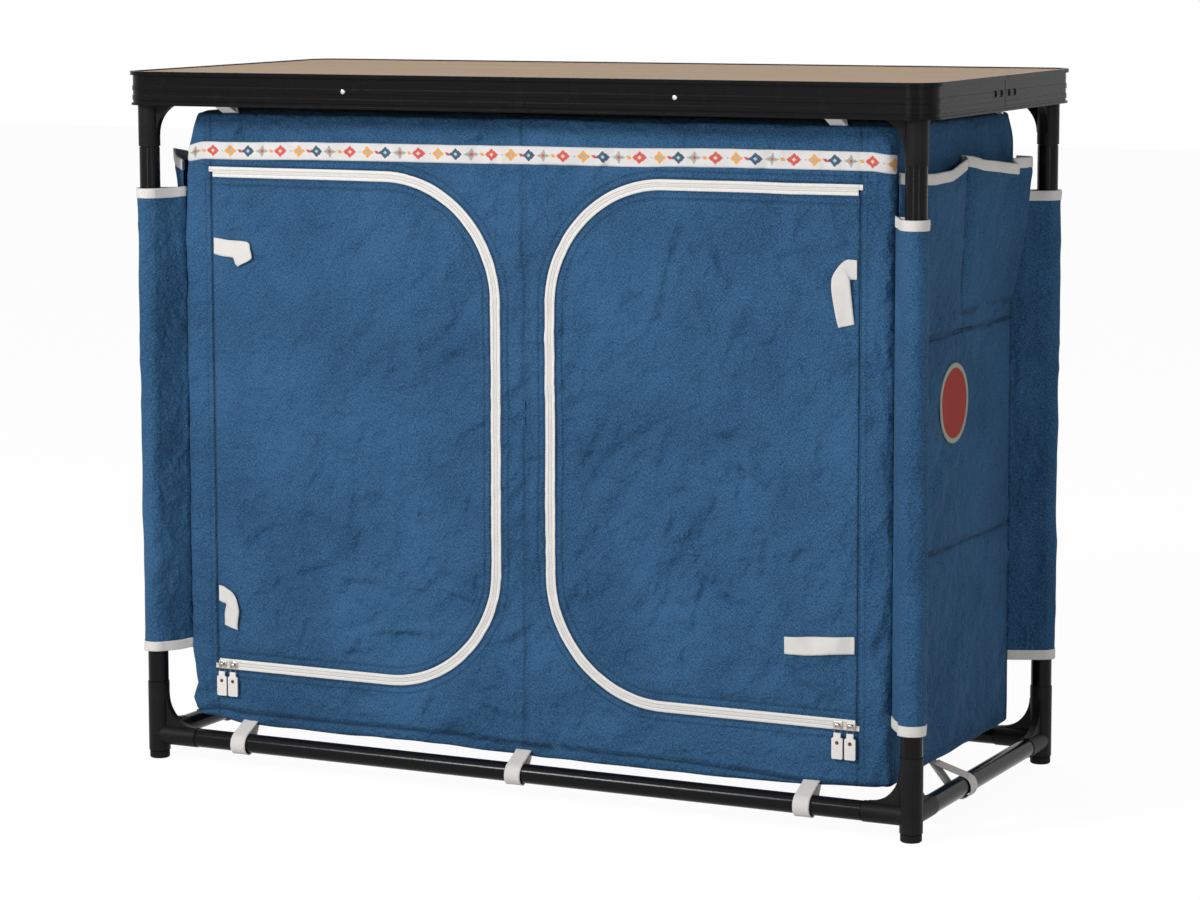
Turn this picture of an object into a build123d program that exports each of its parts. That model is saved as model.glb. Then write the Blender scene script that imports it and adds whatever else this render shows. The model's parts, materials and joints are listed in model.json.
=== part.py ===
from build123d import *
import os
from math import atan2, cos, degrees, hypot, sin, acos

# A take-apart camping cupboard: a frame of round tubes in moulded corners, a fabric cupboard hung in it,
# and a folding worktop laid over the frame. Millimetres, +Z up, the front faces -Y, +X is to the right.
# The origin is on the floor, under the middle of the worktop.

# Worktop
worktop_width = 1000.0
worktop_depth = 464.0
worktop_height = 812.0
lip_corner_radius = 30.0
rim_height = 39.2
rim_wall = 2.4
lip_overhang = 3.0
lip_height = 4.5
flange_overhang = 2.0
flange_height = 2.5
ledge_width = 8.0
ledge_thickness = 1.8
board_thickness = 10.0
board_drop = 1.2
board_clearance = 0.2
fold_gap = 0.6
rim_rib_depth = 0.8
rim_rib_width = 5.4
lower_rib_rise = 5.8
upper_rib_rise = 17.0

# Fold hinge on the short sides of the worktop
fold_pin_radius = 1.25
fold_pin_clearance = 0.15
knuckle_radius = 3.0
knuckle_length = 3.2
knuckle_gap = 0.4
fold_axis_drop = 0.3
leaf_thickness = 1.5
leaf_length = 38.0
leaf_lug_length = 8.0
leaf_lug_height = 3.4
rivet_radius = 1.3
rivet_hole_clearance = 0.05
rivet_head_radius = 2.7
rivet_head_height = 1.1
leaf_rivet_places = (12.0, 31.0)
front_rivet_place = 205.0

# Frame tubes and corners
leg_inset_x = 25.0
leg_inset_y = 21.5
leg_diameter = 24.0
rail_diameter = 22.0
tube_wall = 1.2
corner_step = 0.7
corner_neck_length = 1.2
corner_neck_step = 0.8
spigot_length = 28.0
spigot_clearance = 0.1
corner_arm_length = 54.0
lower_socket_rise = 64.0
upper_socket_drop = 74.0
bottom_rail_height = 28.0
gusset_radius = 37.0
gusset_thickness = 8.0
foot_height = 8.0
foot_radius = 11.8
foot_chamfer = 1.2
foot_neck_height = 1.6
foot_neck_radius = 10.6
foot_stem_radius = 8.5
foot_stem_length = 20.0
foot_stem_clearance = 0.1

# Fabric cupboard
fabric = 1.5
leg_gap_x = 32.0
leg_gap_y = 20.5
body_bottom_rise = 22.0
body_top_drop = 34.0
floor_board_thickness = 4.0
floor_board_gap = 3.0
shelf_thickness = 5.0
shelf_levels = 2
ribbon_height = 21.0
ribbon_drop = 33.0
ribbon_end_gap = 9.0
ribbon_thickness = 0.8

# Doors and zips: the zip's centre line is a D on its side, straight at the hinge seam
door_hinge_inset = 39.0
door_inner_x = 34.0
door_bottom_rise = 65.5
door_top_drop = 69.5
door_corner_radius = 140.0
door_gap = 0.6
zip_half_width = 5.0
zip_gap = 1.0
zip_thickness = 2.2
zip_proud = 0.7
door_zip_start = 3.0
slider_parking = 32.0

# Zip sliders and pullers
slider_length = 11.0
slider_width = 9.0
slider_plate = 1.3
slider_clearance = 0.35
slider_post_length = 2.4
slider_post_width = 0.5
slider_first_place = 6.5
slider_spacing = 15.0
bridge_length = 5.0
bridge_width = 3.4
bridge_height = 2.8
bridge_hole_radius = 0.9
link_wire_radius = 0.6
link_width = 8.0
link_drop = 10.0
tab_width = 13.0
tab_shoulder_width = 8.0
tab_shoulder_height = 6.0
tab_height = 31.0
tab_thickness = 2.4
tab_hole_radius = 0.8
tab_end_radius = 1.8
eyelet_radius = 1.6
eyelet_bore = 1.0
eyelet_flange_radius = 2.5
eyelet_flange = 0.4
eyelet_drop = 10.0

# Ties, loops, sleeves and pockets
tie_width = 19.0
tie_thickness = 1.4
tie_inset = 86.0
tie_root_gap = 3.0
tie_reach = 50.0
straight_tie_length = 80.0
loop_width = 20.0
loop_thickness = 1.4
loop_clearance = 0.3
bottom_loop_inset = 91.0
top_loop_inset = 65.0
side_loop_place = -50.0
sleeve_bottom_rise = 33.0
sleeve_top_drop = 49.0
sleeve_ease = 2.6
sleeve_seam = 3.0
pocket_drop = 59.0
pocket_height = 161.0
pocket_flare = 27.0
pocket_end_inset = 6.0
pocket_divider_y = 9.0

# Places worked out from the sizes above
x_leg = worktop_width / 2 - leg_inset_x
y_leg = worktop_depth / 2 - leg_inset_y
rim_bottom = worktop_height - rim_height
ledge_bottom = worktop_height - board_drop - board_thickness - ledge_thickness
frame_top = ledge_bottom
leg_corner_radius = leg_diameter / 2 + corner_step
rail_corner_radius = rail_diameter / 2 + corner_step
top_rail_height = frame_top - rail_corner_radius
lower_socket_height = bottom_rail_height + lower_socket_rise
upper_socket_height = frame_top - upper_socket_drop
corner_base = foot_height + foot_neck_height
x_body = x_leg - leg_gap_x
y_body = y_leg - leg_gap_y
body_bottom = bottom_rail_height + body_bottom_rise
body_top = frame_top - body_top_drop
shelf_step = (body_top - body_bottom) / (shelf_levels + 1)
ribbon_top = body_top - ribbon_drop
door_hinge_x = x_body - door_hinge_inset
door_bottom = body_bottom + door_bottom_rise
door_top = body_top - door_top_drop
sleeve_bottom = lower_socket_height + sleeve_bottom_rise
sleeve_top = upper_socket_height - sleeve_top_drop
pocket_top = body_top - pocket_drop
pocket_bottom = pocket_top - pocket_height
lip_to_wall_inside = lip_overhang + rim_wall
x_rim_inside = worktop_width / 2 - lip_to_wall_inside
y_rim_inside = worktop_depth / 2 - lip_to_wall_inside
fold_axis_z = rim_bottom - fold_axis_drop
rivet_z = rim_bottom + upper_rib_rise + rim_rib_width / 2
corners = {
    "front_left": (-1, -1),
    "front_right": (1, -1),
    "rear_left": (-1, 1),
    "rear_right": (1, 1),
}
sides = {"left": -1, "right": 1}
faces = {"front": -1, "rear": 1}


def block(x0, x1, y0, y1, z0, z1):
    """A box between two corners, given in any order."""
    size = (abs(x1 - x0), abs(y1 - y0), abs(z1 - z0))
    low = (min(x0, x1), min(y0, y1), min(z0, z1))
    return Pos(*low) * Box(*size, align=(Align.MIN, Align.MIN, Align.MIN))


def rod(start, direction, length, radius):
    """A round bar from a point along a direction."""
    lying = Plane(origin=start, z_dir=direction)
    return lying * Cylinder(radius, length, align=(Align.CENTER, Align.CENTER, Align.MIN))


def plate_outline(points, thickness, plane):
    """A flat plate with straight edges, grown along the plane's normal."""
    outline = Polyline(*points, close=True)
    return extrude(plane * make_face(outline), amount=thickness)


def merged(solids):
    """The union of a list of solids."""
    whole = solids[0]
    for piece in solids[1:]:
        whole = whole + piece
    return whole


def save(name, pieces):
    """Writes the pieces of one named sub-part to its own file."""
    pieces = list(pieces)
    solid = pieces[0] if len(pieces) == 1 else Compound(children=pieces)
    export_step(solid, os.path.join("parts", name + ".step"))


def gusset(run, rise, radius, thickness):
    """A web in a corner, hollowed by a quarter arc that meets the leg and the rail smoothly."""
    far = run + radius
    high = rise + radius
    middle = radius * (1 - cos(atan2(1, 1)))
    edges = [
        Line((0, 0), (far, 0)),
        Line((far, 0), (far, rise)),
        ThreePointArc((far, rise), (run + middle, rise + middle), (run, high)),
        Line((run, high), (0, high)),
        Line((0, high), (0, 0)),
    ]
    face = make_face(Curve() + edges)
    return Pos(0, thickness / 2, 0) * extrude(Plane.XZ * face, amount=thickness)


def spigot(start, direction, tube_diameter):
    """The narrow neck at a socket's mouth, and the spigot that the tube slides over."""
    neck_radius = tube_diameter / 2 - corner_neck_step
    inner_radius = tube_diameter / 2 - tube_wall - spigot_clearance
    neck = rod(start, direction, corner_neck_length, neck_radius)
    reach = corner_neck_length + spigot_length
    return neck + rod(start, direction, reach, inner_radius)


def corner_connector(side_x, side_y, rail_height, socket_height, end_height):
    """A three-way moulded corner: a leg socket and two rail arms, each with a spigot, and two gussets."""
    up = 1 if socket_height > end_height else -1
    axis = (side_x * x_leg, side_y * y_leg)
    body = rod((*axis, end_height), (0, 0, up), abs(socket_height - end_height), leg_corner_radius)
    centre = (*axis, rail_height)
    body += rod(centre, (-side_x, 0, 0), corner_arm_length, rail_corner_radius)
    body += rod(centre, (0, -side_y, 0), corner_arm_length, rail_corner_radius)
    web = gusset(leg_corner_radius, rail_corner_radius, gusset_radius, gusset_thickness)
    if up < 0:
        web = mirror(web, Plane.XY)
    along_x = web if side_x < 0 else mirror(web, Plane.YZ)
    along_y = Rot(0, 0, 90 if side_y < 0 else -90) * web
    body += Pos(*centre) * along_x
    body += Pos(*centre) * along_y
    body += spigot((*axis, socket_height), (0, 0, up), leg_diameter)
    end_x = (axis[0] - side_x * corner_arm_length, axis[1], rail_height)
    end_y = (axis[0], axis[1] - side_y * corner_arm_length, rail_height)
    body += spigot(end_x, (-side_x, 0, 0), rail_diameter)
    body += spigot(end_y, (0, -side_y, 0), rail_diameter)
    return body


def tube(start, direction, length, diameter):
    """A round tube."""
    return rod(start, direction, length, diameter / 2) - rod(start, direction, length, diameter / 2 - tube_wall)


def foot_cap(side_x, side_y):
    """A plastic foot whose stem plugs the bottom of a corner."""
    axis = (side_x * x_leg, side_y * y_leg)
    pad = rod((*axis, 0), (0, 0, 1), foot_height, foot_radius)
    pad = chamfer(pad.edges().group_by(Axis.Z)[0], foot_chamfer)
    neck = rod((*axis, 0), (0, 0, 1), corner_base, foot_neck_radius)
    stem = rod((*axis, 0), (0, 0, 1), corner_base + foot_stem_length, foot_stem_radius)
    inner = block(axis[0] - foot_radius, axis[0] + foot_radius, axis[1] - foot_radius, axis[1] + foot_radius,
                  foot_height / 2, corner_base + foot_stem_length)
    return pad + ((neck + stem) & inner)


def make_frame():
    """Feet, corners, legs and rails."""
    save("foot_caps", [foot_cap(*place) for place in corners.values()])
    leg_start = lower_socket_height + corner_neck_length
    leg_length = upper_socket_height - corner_neck_length - leg_start
    for name, (side_x, side_y) in corners.items():
        axis = (side_x * x_leg, side_y * y_leg)
        lower = corner_connector(side_x, side_y, bottom_rail_height, lower_socket_height, corner_base)
        bore_depth = foot_stem_length + foot_stem_clearance
        lower -= rod((*axis, corner_base), (0, 0, 1), bore_depth, foot_stem_radius + foot_stem_clearance)
        save("corner_bottom_" + name, [lower])
        upper = corner_connector(side_x, side_y, top_rail_height, upper_socket_height, frame_top)
        save("corner_top_" + name, [upper])
        save("leg_" + name, [tube((*axis, leg_start), (0, 0, 1), leg_length, leg_diameter)])
    reach = corner_arm_length + corner_neck_length
    for level, height in (("bottom", bottom_rail_height), ("top", top_rail_height)):
        for name, face in faces.items():
            start = (-x_leg + reach, face * y_leg, height)
            save(f"rail_{level}_{name}", [tube(start, (1, 0, 0), 2 * (x_leg - reach), rail_diameter)])
        for name, side in sides.items():
            start = (side * x_leg, -y_leg + reach, height)
            save(f"rail_{level}_{name}", [tube(start, (0, 1, 0), 2 * (y_leg - reach), rail_diameter)])


def rounded_slab(inset, low, high):
    """A rounded plate whose edge lies inside the lip's edge by the inset."""
    outline = RectangleRounded(
        worktop_width - 2 * inset, worktop_depth - 2 * inset, lip_corner_radius - inset
    )
    return Pos(0, 0, low) * extrude(outline, amount=high - low)


def rounded_ring(outer_inset, inner_inset, low, high):
    """A rounded frame between two insets."""
    return rounded_slab(outer_inset, low, high) - rounded_slab(inner_inset, low, high)


def half_space(face):
    """A box that holds everything on one side of the fold, clear of half the fold gap."""
    reach = worktop_depth
    return block(-worktop_width, worktop_width, face * fold_gap / 2, face * reach, 0, 2 * worktop_height)


def rivet_places(face):
    """Where the rivets of one worktop half go through the rim, each with its outward direction."""
    x_wall = worktop_width / 2 - lip_overhang + rim_rib_depth
    y_wall = worktop_depth / 2 - lip_overhang + rim_rib_depth
    grip = rim_wall + rim_rib_depth
    places = []
    for side in sides.values():
        for place in leaf_rivet_places:
            places.append(((side * x_wall, face * place, rivet_z), (side, 0, 0), grip + leaf_thickness))
        places.append(((side * front_rivet_place, face * y_wall, rivet_z), (0, face, 0), grip))
    return places


def rivet(place, outward, grip):
    """A round-headed rivet with its flat inner head."""
    inward = tuple(-part for part in outward)
    head = rod(place, outward, rivet_head_height, rivet_head_radius)
    head = fillet(head.edges().sort_by(Axis(place, outward))[-1:], rivet_head_height * 0.8)
    shank = rod(place, inward, grip, rivet_radius)
    back = tuple(p + grip * d for p, d in zip(place, inward))
    return head + shank + rod(back, inward, rivet_head_height / 2, rivet_head_radius)


def drilled(solid, face):
    """The rivet holes of one worktop half cut out of a solid."""
    for place, outward, grip in rivet_places(face):
        inward = tuple(-part for part in outward)
        solid = solid - rod(place, inward, grip, rivet_radius + rivet_hole_clearance)
    return solid


def rim_ring():
    """The worktop's whole rim: lip, wall, foot flange, board ledge and two raised ribs."""
    top = worktop_height
    ring = rounded_ring(0, lip_to_wall_inside, top - lip_height, top)
    ring += rounded_ring(lip_overhang, lip_to_wall_inside, rim_bottom, top)
    flange_inset = lip_overhang - flange_overhang
    ring += rounded_ring(flange_inset, lip_to_wall_inside, rim_bottom, rim_bottom + flange_height)
    ledge_inset = lip_to_wall_inside + ledge_width
    ring += rounded_ring(lip_overhang, ledge_inset, ledge_bottom, ledge_bottom + ledge_thickness)
    rib_inset = lip_overhang - rim_rib_depth
    for rise in (lower_rib_rise, upper_rib_rise):
        low = rim_bottom + rise
        ring += rounded_ring(rib_inset, lip_to_wall_inside, low, low + rim_rib_width)
    return ring


def hinge_leaf(side, face):
    """One leaf of a fold hinge: a plate riveted inside the rim, and its knuckle on the fold axis."""
    x_plate = x_rim_inside - leaf_thickness
    outer_end = x_rim_inside - knuckle_gap
    if face > 0:
        outer_end -= knuckle_length + knuckle_gap
    inner_end = outer_end - knuckle_length
    knuckle = rod((side * inner_end, 0, fold_axis_z), (side, 0, 0), knuckle_length, knuckle_radius)
    clear = face * (knuckle_radius + knuckle_gap)
    plate_top = ledge_bottom - knuckle_gap
    web_low = rim_bottom + knuckle_gap
    lug_high = web_low + leaf_lug_height
    web_high = min(lug_high, fold_axis_z + knuckle_radius)
    plate = block(side * x_plate, side * x_rim_inside, clear, face * leaf_length, web_low, plate_top)
    lug = block(side * inner_end, side * x_rim_inside, clear, face * leaf_lug_length, web_low, lug_high)
    web = block(side * inner_end, side * outer_end, 0, face * leaf_lug_length, web_low, web_high)
    leaf = merged([knuckle, web, lug, plate])
    bore = fold_pin_radius + fold_pin_clearance
    leaf -= rod((side * (inner_end - 1), 0, fold_axis_z), (side, 0, 0), knuckle_length + 2, bore)
    return drilled(leaf, face)


def make_worktop():
    """Two board halves in U-shaped rims, hinged at the rims' lower edge so that their undersides meet."""
    ring = rim_ring()
    board_inset = lip_to_wall_inside + board_clearance
    board_low = ledge_bottom + ledge_thickness
    board = rounded_slab(board_inset, board_low, board_low + board_thickness)
    for name, face in faces.items():
        save("rim_" + name, [drilled(ring & half_space(face), face)])
        save("board_" + name, [board & half_space(face)])
        save("hinge_leaves_" + name, [hinge_leaf(side, face) for side in sides.values()])
        save("rim_rivets_" + name, [rivet(*place) for place in rivet_places(face)])
    pin_length = 2 * knuckle_length + 2 * knuckle_gap
    pin_start = x_rim_inside - knuckle_gap / 2 - pin_length
    pins = [
        rod((side * pin_start, 0, fold_axis_z), (side, 0, 0), pin_length, fold_pin_radius)
        for side in sides.values()
    ]
    save("hinge_pins", pins)


def door_outline(side, grow, start):
    """The D-shaped door outline grown outwards, from a place beside the hinge seam."""
    radius = door_corner_radius + grow
    near = door_hinge_x - start
    inner = door_inner_x - grow
    turn = door_inner_x + door_corner_radius
    high = door_top + grow
    low = door_bottom - grow
    bend = radius * cos(atan2(1, 1))
    upper = door_top - door_corner_radius
    lower = door_bottom + door_corner_radius
    edges = [
        Line((side * near, low), (side * turn, low)),
        ThreePointArc((side * turn, low), (side * (turn - bend), lower - bend), (side * inner, lower)),
        Line((side * inner, lower), (side * inner, upper)),
        ThreePointArc((side * inner, upper), (side * (turn - bend), upper + bend), (side * turn, high)),
        Line((side * turn, high), (side * near, high)),
        Line((side * near, high), (side * near, low)),
    ]
    return make_face(Curve() + edges)


def door_plate(side, grow, start, front, thickness):
    """A plate with the door's outline whose front face lies at the given Y."""
    return Pos(0, front + thickness, 0) * extrude(Plane.XZ * door_outline(side, grow, start), amount=thickness)


def make_doors():
    """Front panel with two door openings, the doors and the two halves of each zip."""
    half_gap = zip_gap / 2
    frame_edge = half_gap + zip_half_width
    zip_front = -y_body - zip_proud
    panel = block(-x_body, x_body, -y_body, -y_body + fabric, body_bottom, body_top)
    frame_halves = []
    for name, side in sides.items():
        panel -= door_plate(side, frame_edge, 0, -y_body - 1, fabric + 2)
        outer = door_plate(side, frame_edge, 0, zip_front, zip_thickness)
        frame_halves.append(outer - door_plate(side, half_gap, -1, zip_front, zip_thickness))
        leaf = door_plate(side, -frame_edge, door_gap, -y_body, fabric)
        save("door_" + name, [leaf])
        strip = door_plate(side, -half_gap, door_zip_start, zip_front, zip_thickness)
        strip -= door_plate(side, -frame_edge, door_zip_start - 1, zip_front, zip_thickness)
        hinge = side * door_hinge_x
        parked = side * (door_hinge_x - slider_parking)
        strip -= block(hinge, parked, zip_front, zip_front + zip_thickness,
                       door_bottom, door_bottom + frame_edge)
        save("zip_door_half_" + name, [strip])
    save("front_panel", [panel])
    save("zip_frame_halves", frame_halves)


def zip_slider(side, place):
    """A zip slider: front and back plates, the post between the zip's halves and the puller's bridge."""
    x = side * (door_hinge_x - place)
    zip_front = -y_body - zip_proud
    front = zip_front - slider_clearance
    back = zip_front + zip_thickness + slider_clearance
    half_length = slider_length / 2
    half_width = slider_width / 2
    low = door_bottom - half_width
    high = door_bottom + half_width
    post = slider_post_length / 2
    slim = slider_post_width / 2
    bridge_front = front - slider_plate - bridge_height
    body = merged([
        block(x - half_length, x + half_length, front - slider_plate, front, low, high),
        block(x - half_length, x + half_length, back, back + slider_plate, low, high),
        block(x - post, x + post, front, back, door_bottom - slim, door_bottom + slim),
        block(x - bridge_length / 2, x + bridge_length / 2, bridge_front, front - slider_plate,
              door_bottom - bridge_width / 2, door_bottom + bridge_width / 2),
    ])
    hole = rod((x - bridge_length, puller_axis_y(), door_bottom), (1, 0, 0), 2 * bridge_length, bridge_hole_radius)
    return body - hole


def puller_axis_y():
    """The Y place of the puller's hinge axis, in the middle of the bridge."""
    return -y_body - zip_proud - slider_clearance - slider_plate - bridge_height / 2


def zip_puller(side, place):
    """A wire link hung in the slider's bridge, the tab on it and the tab's eyelet."""
    x = side * (door_hinge_x - place)
    y = puller_axis_y()
    high = door_bottom
    low = door_bottom - link_drop
    half = link_width / 2
    link = merged([
        rod((x - half - link_wire_radius, y, high), (1, 0, 0), link_width + 2 * link_wire_radius, link_wire_radius),
        rod((x - half - link_wire_radius, y, low), (1, 0, 0), link_width + 2 * link_wire_radius, link_wire_radius),
        rod((x - half, y, low), (0, 0, 1), link_drop, link_wire_radius),
        rod((x + half, y, low), (0, 0, 1), link_drop, link_wire_radius),
    ])
    tab_top = low + 2 * tab_hole_radius
    neck = half - 2 * link_wire_radius
    shoulder = low - tab_shoulder_height
    end = tab_top - tab_height
    points = [
        (x - neck, tab_top), (x + neck, tab_top), (x + neck, low - 2 * tab_hole_radius),
        (x + tab_width / 2, shoulder), (x + tab_width / 2, end), (x - tab_width / 2, end),
        (x - tab_width / 2, shoulder), (x - neck, low - 2 * tab_hole_radius),
    ]
    tab = Pos(0, y + tab_thickness / 2, 0) * plate_outline(points, tab_thickness, Plane.XZ)
    tab = fillet(tab.edges().filter_by(Axis.Y).group_by(Axis.Z)[0], tab_end_radius)
    tab -= rod((x - link_width, y, low), (1, 0, 0), 2 * link_width, tab_hole_radius)
    eye = (x, y - tab_thickness / 2 - eyelet_flange, low - eyelet_drop)
    rear = (x, y + tab_thickness / 2, low - eyelet_drop)
    tab -= rod(eye, (0, 1, 0), tab_thickness + eyelet_flange, eyelet_radius)
    eyelet = rod(eye, (0, 1, 0), tab_thickness + 2 * eyelet_flange, eyelet_radius)
    eyelet += rod(eye, (0, 1, 0), eyelet_flange, eyelet_flange_radius)
    eyelet += rod(rear, (0, 1, 0), eyelet_flange, eyelet_flange_radius)
    eyelet -= rod(eye, (0, 1, 0), tab_thickness + 2 * eyelet_flange, eyelet_bore)
    return [link, tab, eyelet]


def make_zip_pulls():
    """Two sliders a door, parked by the hinge seam, each with its puller."""
    for name, side in sides.items():
        for order, place in (("outer", slider_first_place), ("inner", slider_first_place + slider_spacing)):
            save(f"zip_slider_{name}_{order}", [zip_slider(side, place)])
            save(f"zip_puller_{name}_{order}", zip_puller(side, place))


def folded_tie(side, height):
    """A tie sewn in the hinge seam, lying on the door and folded down at its end."""
    half = tie_width / 2
    root = door_hinge_x - tie_root_gap
    bend = root - tie_reach
    points = [
        (side * root, height + half), (side * (bend + half), height + half * 0.7), (side * bend, height),
        (side * bend, height - half), (side * (bend + half * 0.7), height - 2.2 * half),
        (side * (bend + 1.9 * half), height - 3.1 * half), (side * (bend + 2.8 * half), height - half * 1.1),
        (side * root, height - half),
    ]
    return Pos(0, -y_body, 0) * plate_outline(points, tie_thickness, Plane.XZ)


def straight_tie(side, height):
    """A tie that lies straight across the door."""
    root = side * (door_hinge_x - tie_root_gap)
    end = side * (door_hinge_x - tie_root_gap - straight_tie_length)
    half = tie_width / 2
    return block(root, end, -y_body - tie_thickness, -y_body, height - half, height + half)


def hanging_tie(side, height):
    """A tie that leaves the seam and hangs down."""
    half = tie_width / 2
    root = door_hinge_x - tie_root_gap
    bend = root - tie_reach * 0.6
    points = [
        (side * root, height + half), (side * (bend + half), height + half * 0.6), (side * bend, height - half),
        (side * bend, height - 3 * half), (side * (bend + 0.6 * half), height - 4.6 * half),
        (side * (bend + 2.2 * half), height - 4.1 * half), (side * (bend + 1.9 * half), height - 2 * half),
        (side * root, height - half),
    ]
    return Pos(0, -y_body, 0) * plate_outline(points, tie_thickness, Plane.XZ)


def make_ties():
    """The ties that hold a rolled-up door, two a door."""
    upper = door_top - tie_inset
    lower = door_bottom + tie_inset
    save("tie_straps_left", [folded_tie(-1, upper), hanging_tie(-1, lower)])
    save("tie_straps_right", [hanging_tie(1, upper), straight_tie(1, lower)])


def make_body():
    """Back, sides, top, floor, shelves and the upright divider of the fabric cupboard, and its ribbon."""
    x_in = x_body - fabric
    y_in = y_body - fabric
    save("back_panel", [block(-x_body, x_body, y_in, y_body, body_bottom, body_top)])
    for name, side in sides.items():
        save("side_panel_" + name, [block(side * x_in, side * x_body, -y_in, y_in, body_bottom, body_top)])
    save("top_panel", [block(-x_in, x_in, -y_in, y_in, body_top - fabric, body_top)])
    save("floor_panel", [block(-x_in, x_in, -y_in, y_in, body_bottom, body_bottom + fabric)])
    board_low = body_bottom + fabric
    board_high = board_low + floor_board_thickness
    x_board = x_in - floor_board_gap
    y_board = y_in - floor_board_gap
    save("floor_board", [block(-x_board, x_board, -y_board, y_board, board_low, board_high)])
    y_divider = -y_in + floor_board_gap
    divider = block(-fabric / 2, fabric / 2, y_divider, y_in, board_high, body_top - fabric)
    save("divider", [divider])
    shelves = []
    for level in range(shelf_levels):
        height = body_bottom + (level + 1) * shelf_step
        for side in sides.values():
            shelves.append(block(side * fabric / 2, side * x_in, y_divider, y_in, height, height + shelf_thickness))
    save("shelves", shelves)
    half = x_body - ribbon_end_gap
    ribbon_low = ribbon_top - ribbon_height
    save("ribbon", [block(-half, half, -y_body - ribbon_thickness, -y_body, ribbon_low, ribbon_top)])


def drop_outline(centre, radius, near, far):
    """A drop in plan: a circle drawn to a short straight seam by the two lines that touch it."""
    away = hypot(near[0] - centre[0], near[1] - centre[1])
    heading = atan2(near[1] - centre[1], near[0] - centre[0])
    cross = (near[0] - centre[0]) * (far[1] - centre[1]) - (near[1] - centre[1]) * (far[0] - centre[0])
    turn = -1 if cross > 0 else 1
    first = heading + turn * acos(radius / away)
    away_far = hypot(far[0] - centre[0], far[1] - centre[1])
    heading_far = atan2(far[1] - centre[1], far[0] - centre[0])
    second = heading_far - turn * acos(radius / away_far)
    start = (centre[0] + radius * cos(first), centre[1] + radius * sin(first))
    end = (centre[0] + radius * cos(second), centre[1] + radius * sin(second))
    through = (2 * centre[0] - (near[0] + far[0]) / 2, 2 * centre[1] - (near[1] + far[1]) / 2)
    reach = hypot(through[0] - centre[0], through[1] - centre[1])
    back = (
        centre[0] + (through[0] - centre[0]) * radius / reach,
        centre[1] + (through[1] - centre[1]) * radius / reach,
    )
    edges = [Line(near, start), ThreePointArc(start, back, end), Line(end, far), Line(far, near)]
    return make_face(Curve() + edges)


def leg_sleeve(side_x, side_y):
    """A fabric sleeve round a leg, drawn in to a seam on the cupboard's side panel."""
    centre = (side_x * x_leg, side_y * y_leg)
    outer_radius = leg_diameter / 2 + sleeve_ease + fabric
    near = (side_x * x_body, side_y * y_body)
    far = (side_x * x_body, side_y * (y_body - sleeve_seam))
    outer = drop_outline(centre, outer_radius, near, far)
    x_inside = side_x * (x_body + 2 * fabric)
    y_inside = side_y * (y_body + fabric)
    tip = side_y * fabric * 0.3
    inner = drop_outline(centre, outer_radius - fabric, (x_inside, y_inside + tip), (x_inside, y_inside - tip))
    height = sleeve_top - sleeve_bottom
    return Pos(0, 0, sleeve_bottom) * (extrude(outer, amount=height) - extrude(inner, amount=height))


def make_sleeves():
    """Two leg sleeves a side."""
    for name, side in sides.items():
        save("leg_sleeves_" + name, [leg_sleeve(side, face) for face in (-1, 1)])


def rail_loop(height, edge_height, place, along_x, sign):
    """A webbing loop from the cupboard's edge round a rail and back."""
    radius = rail_diameter / 2 + loop_clearance
    rail_at = y_leg if along_x else x_leg
    edge_at = y_body if along_x else x_body
    centre = (sign * rail_at, height)
    step = 1 if height > edge_height else -1
    near = (sign * edge_at, edge_height)
    far = (sign * (edge_at - sleeve_seam), edge_height)
    outer = drop_outline(centre, radius + loop_thickness, near, far)
    rise = edge_height + step * 2 * loop_thickness
    across = edge_at + loop_thickness
    slim = loop_thickness * 0.3
    inner = drop_outline(centre, radius, (sign * (across + slim), rise), (sign * (across - slim), rise))
    low = place - loop_width / 2
    plane = Plane.YZ if along_x else Plane.XZ
    band = extrude(plane * outer, amount=loop_width) - extrude(plane * inner, amount=loop_width)
    return Pos(low, 0, 0) * band if along_x else Pos(0, low + loop_width, 0) * band


def make_loops():
    """Webbing loops that hold the cupboard to the bottom rails and hang it from the top rails."""
    bottom_place = x_body - bottom_loop_inset
    top_place = x_body - top_loop_inset
    loops = []
    for face in faces.values():
        for place in (-bottom_place, 0, bottom_place):
            loops.append(rail_loop(bottom_rail_height, body_bottom, place, True, face))
        for place in (-top_place, top_place):
            loops.append(rail_loop(top_rail_height, body_top, place, True, face))
    for side in sides.values():
        loops.append(rail_loop(bottom_rail_height, body_bottom, side_loop_place, False, side))
    save("rail_loops", loops)


def side_pocket(side):
    """A flared double pocket, sewn to the side panel below, at both ends and at its divider."""
    height = pocket_top - pocket_bottom
    end = y_body - pocket_end_inset
    points = [
        (side * x_body, pocket_bottom), (side * x_body, pocket_top),
        (side * (x_body + pocket_flare), pocket_top), (side * (x_body + fabric), pocket_bottom),
    ]
    whole = Pos(0, end, 0) * plate_outline(points, 2 * end, Plane.XZ)
    hollow = [
        (side * x_body, pocket_bottom + fabric), (side * x_body, pocket_top + 1),
        (side * (x_body + pocket_flare - fabric), pocket_top + 1),
        (side * (x_body + pocket_flare * fabric / height + 0.2), pocket_bottom + fabric),
    ]
    for low, high in ((-end, pocket_divider_y), (pocket_divider_y, end)):
        length = high - low - 1.5 * fabric
        whole -= Pos(0, high - 0.75 * fabric, 0) * plate_outline(hollow, length, Plane.XZ)
    return whole


def make_pockets():
    """One double pocket on each short side."""
    for name, side in sides.items():
        save("side_pocket_" + name, [side_pocket(side)])


os.makedirs("parts", exist_ok=True)
make_frame()
make_worktop()
make_body()
make_doors()
make_zip_pulls()
make_ties()
make_sleeves()
make_loops()
make_pockets()
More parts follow.
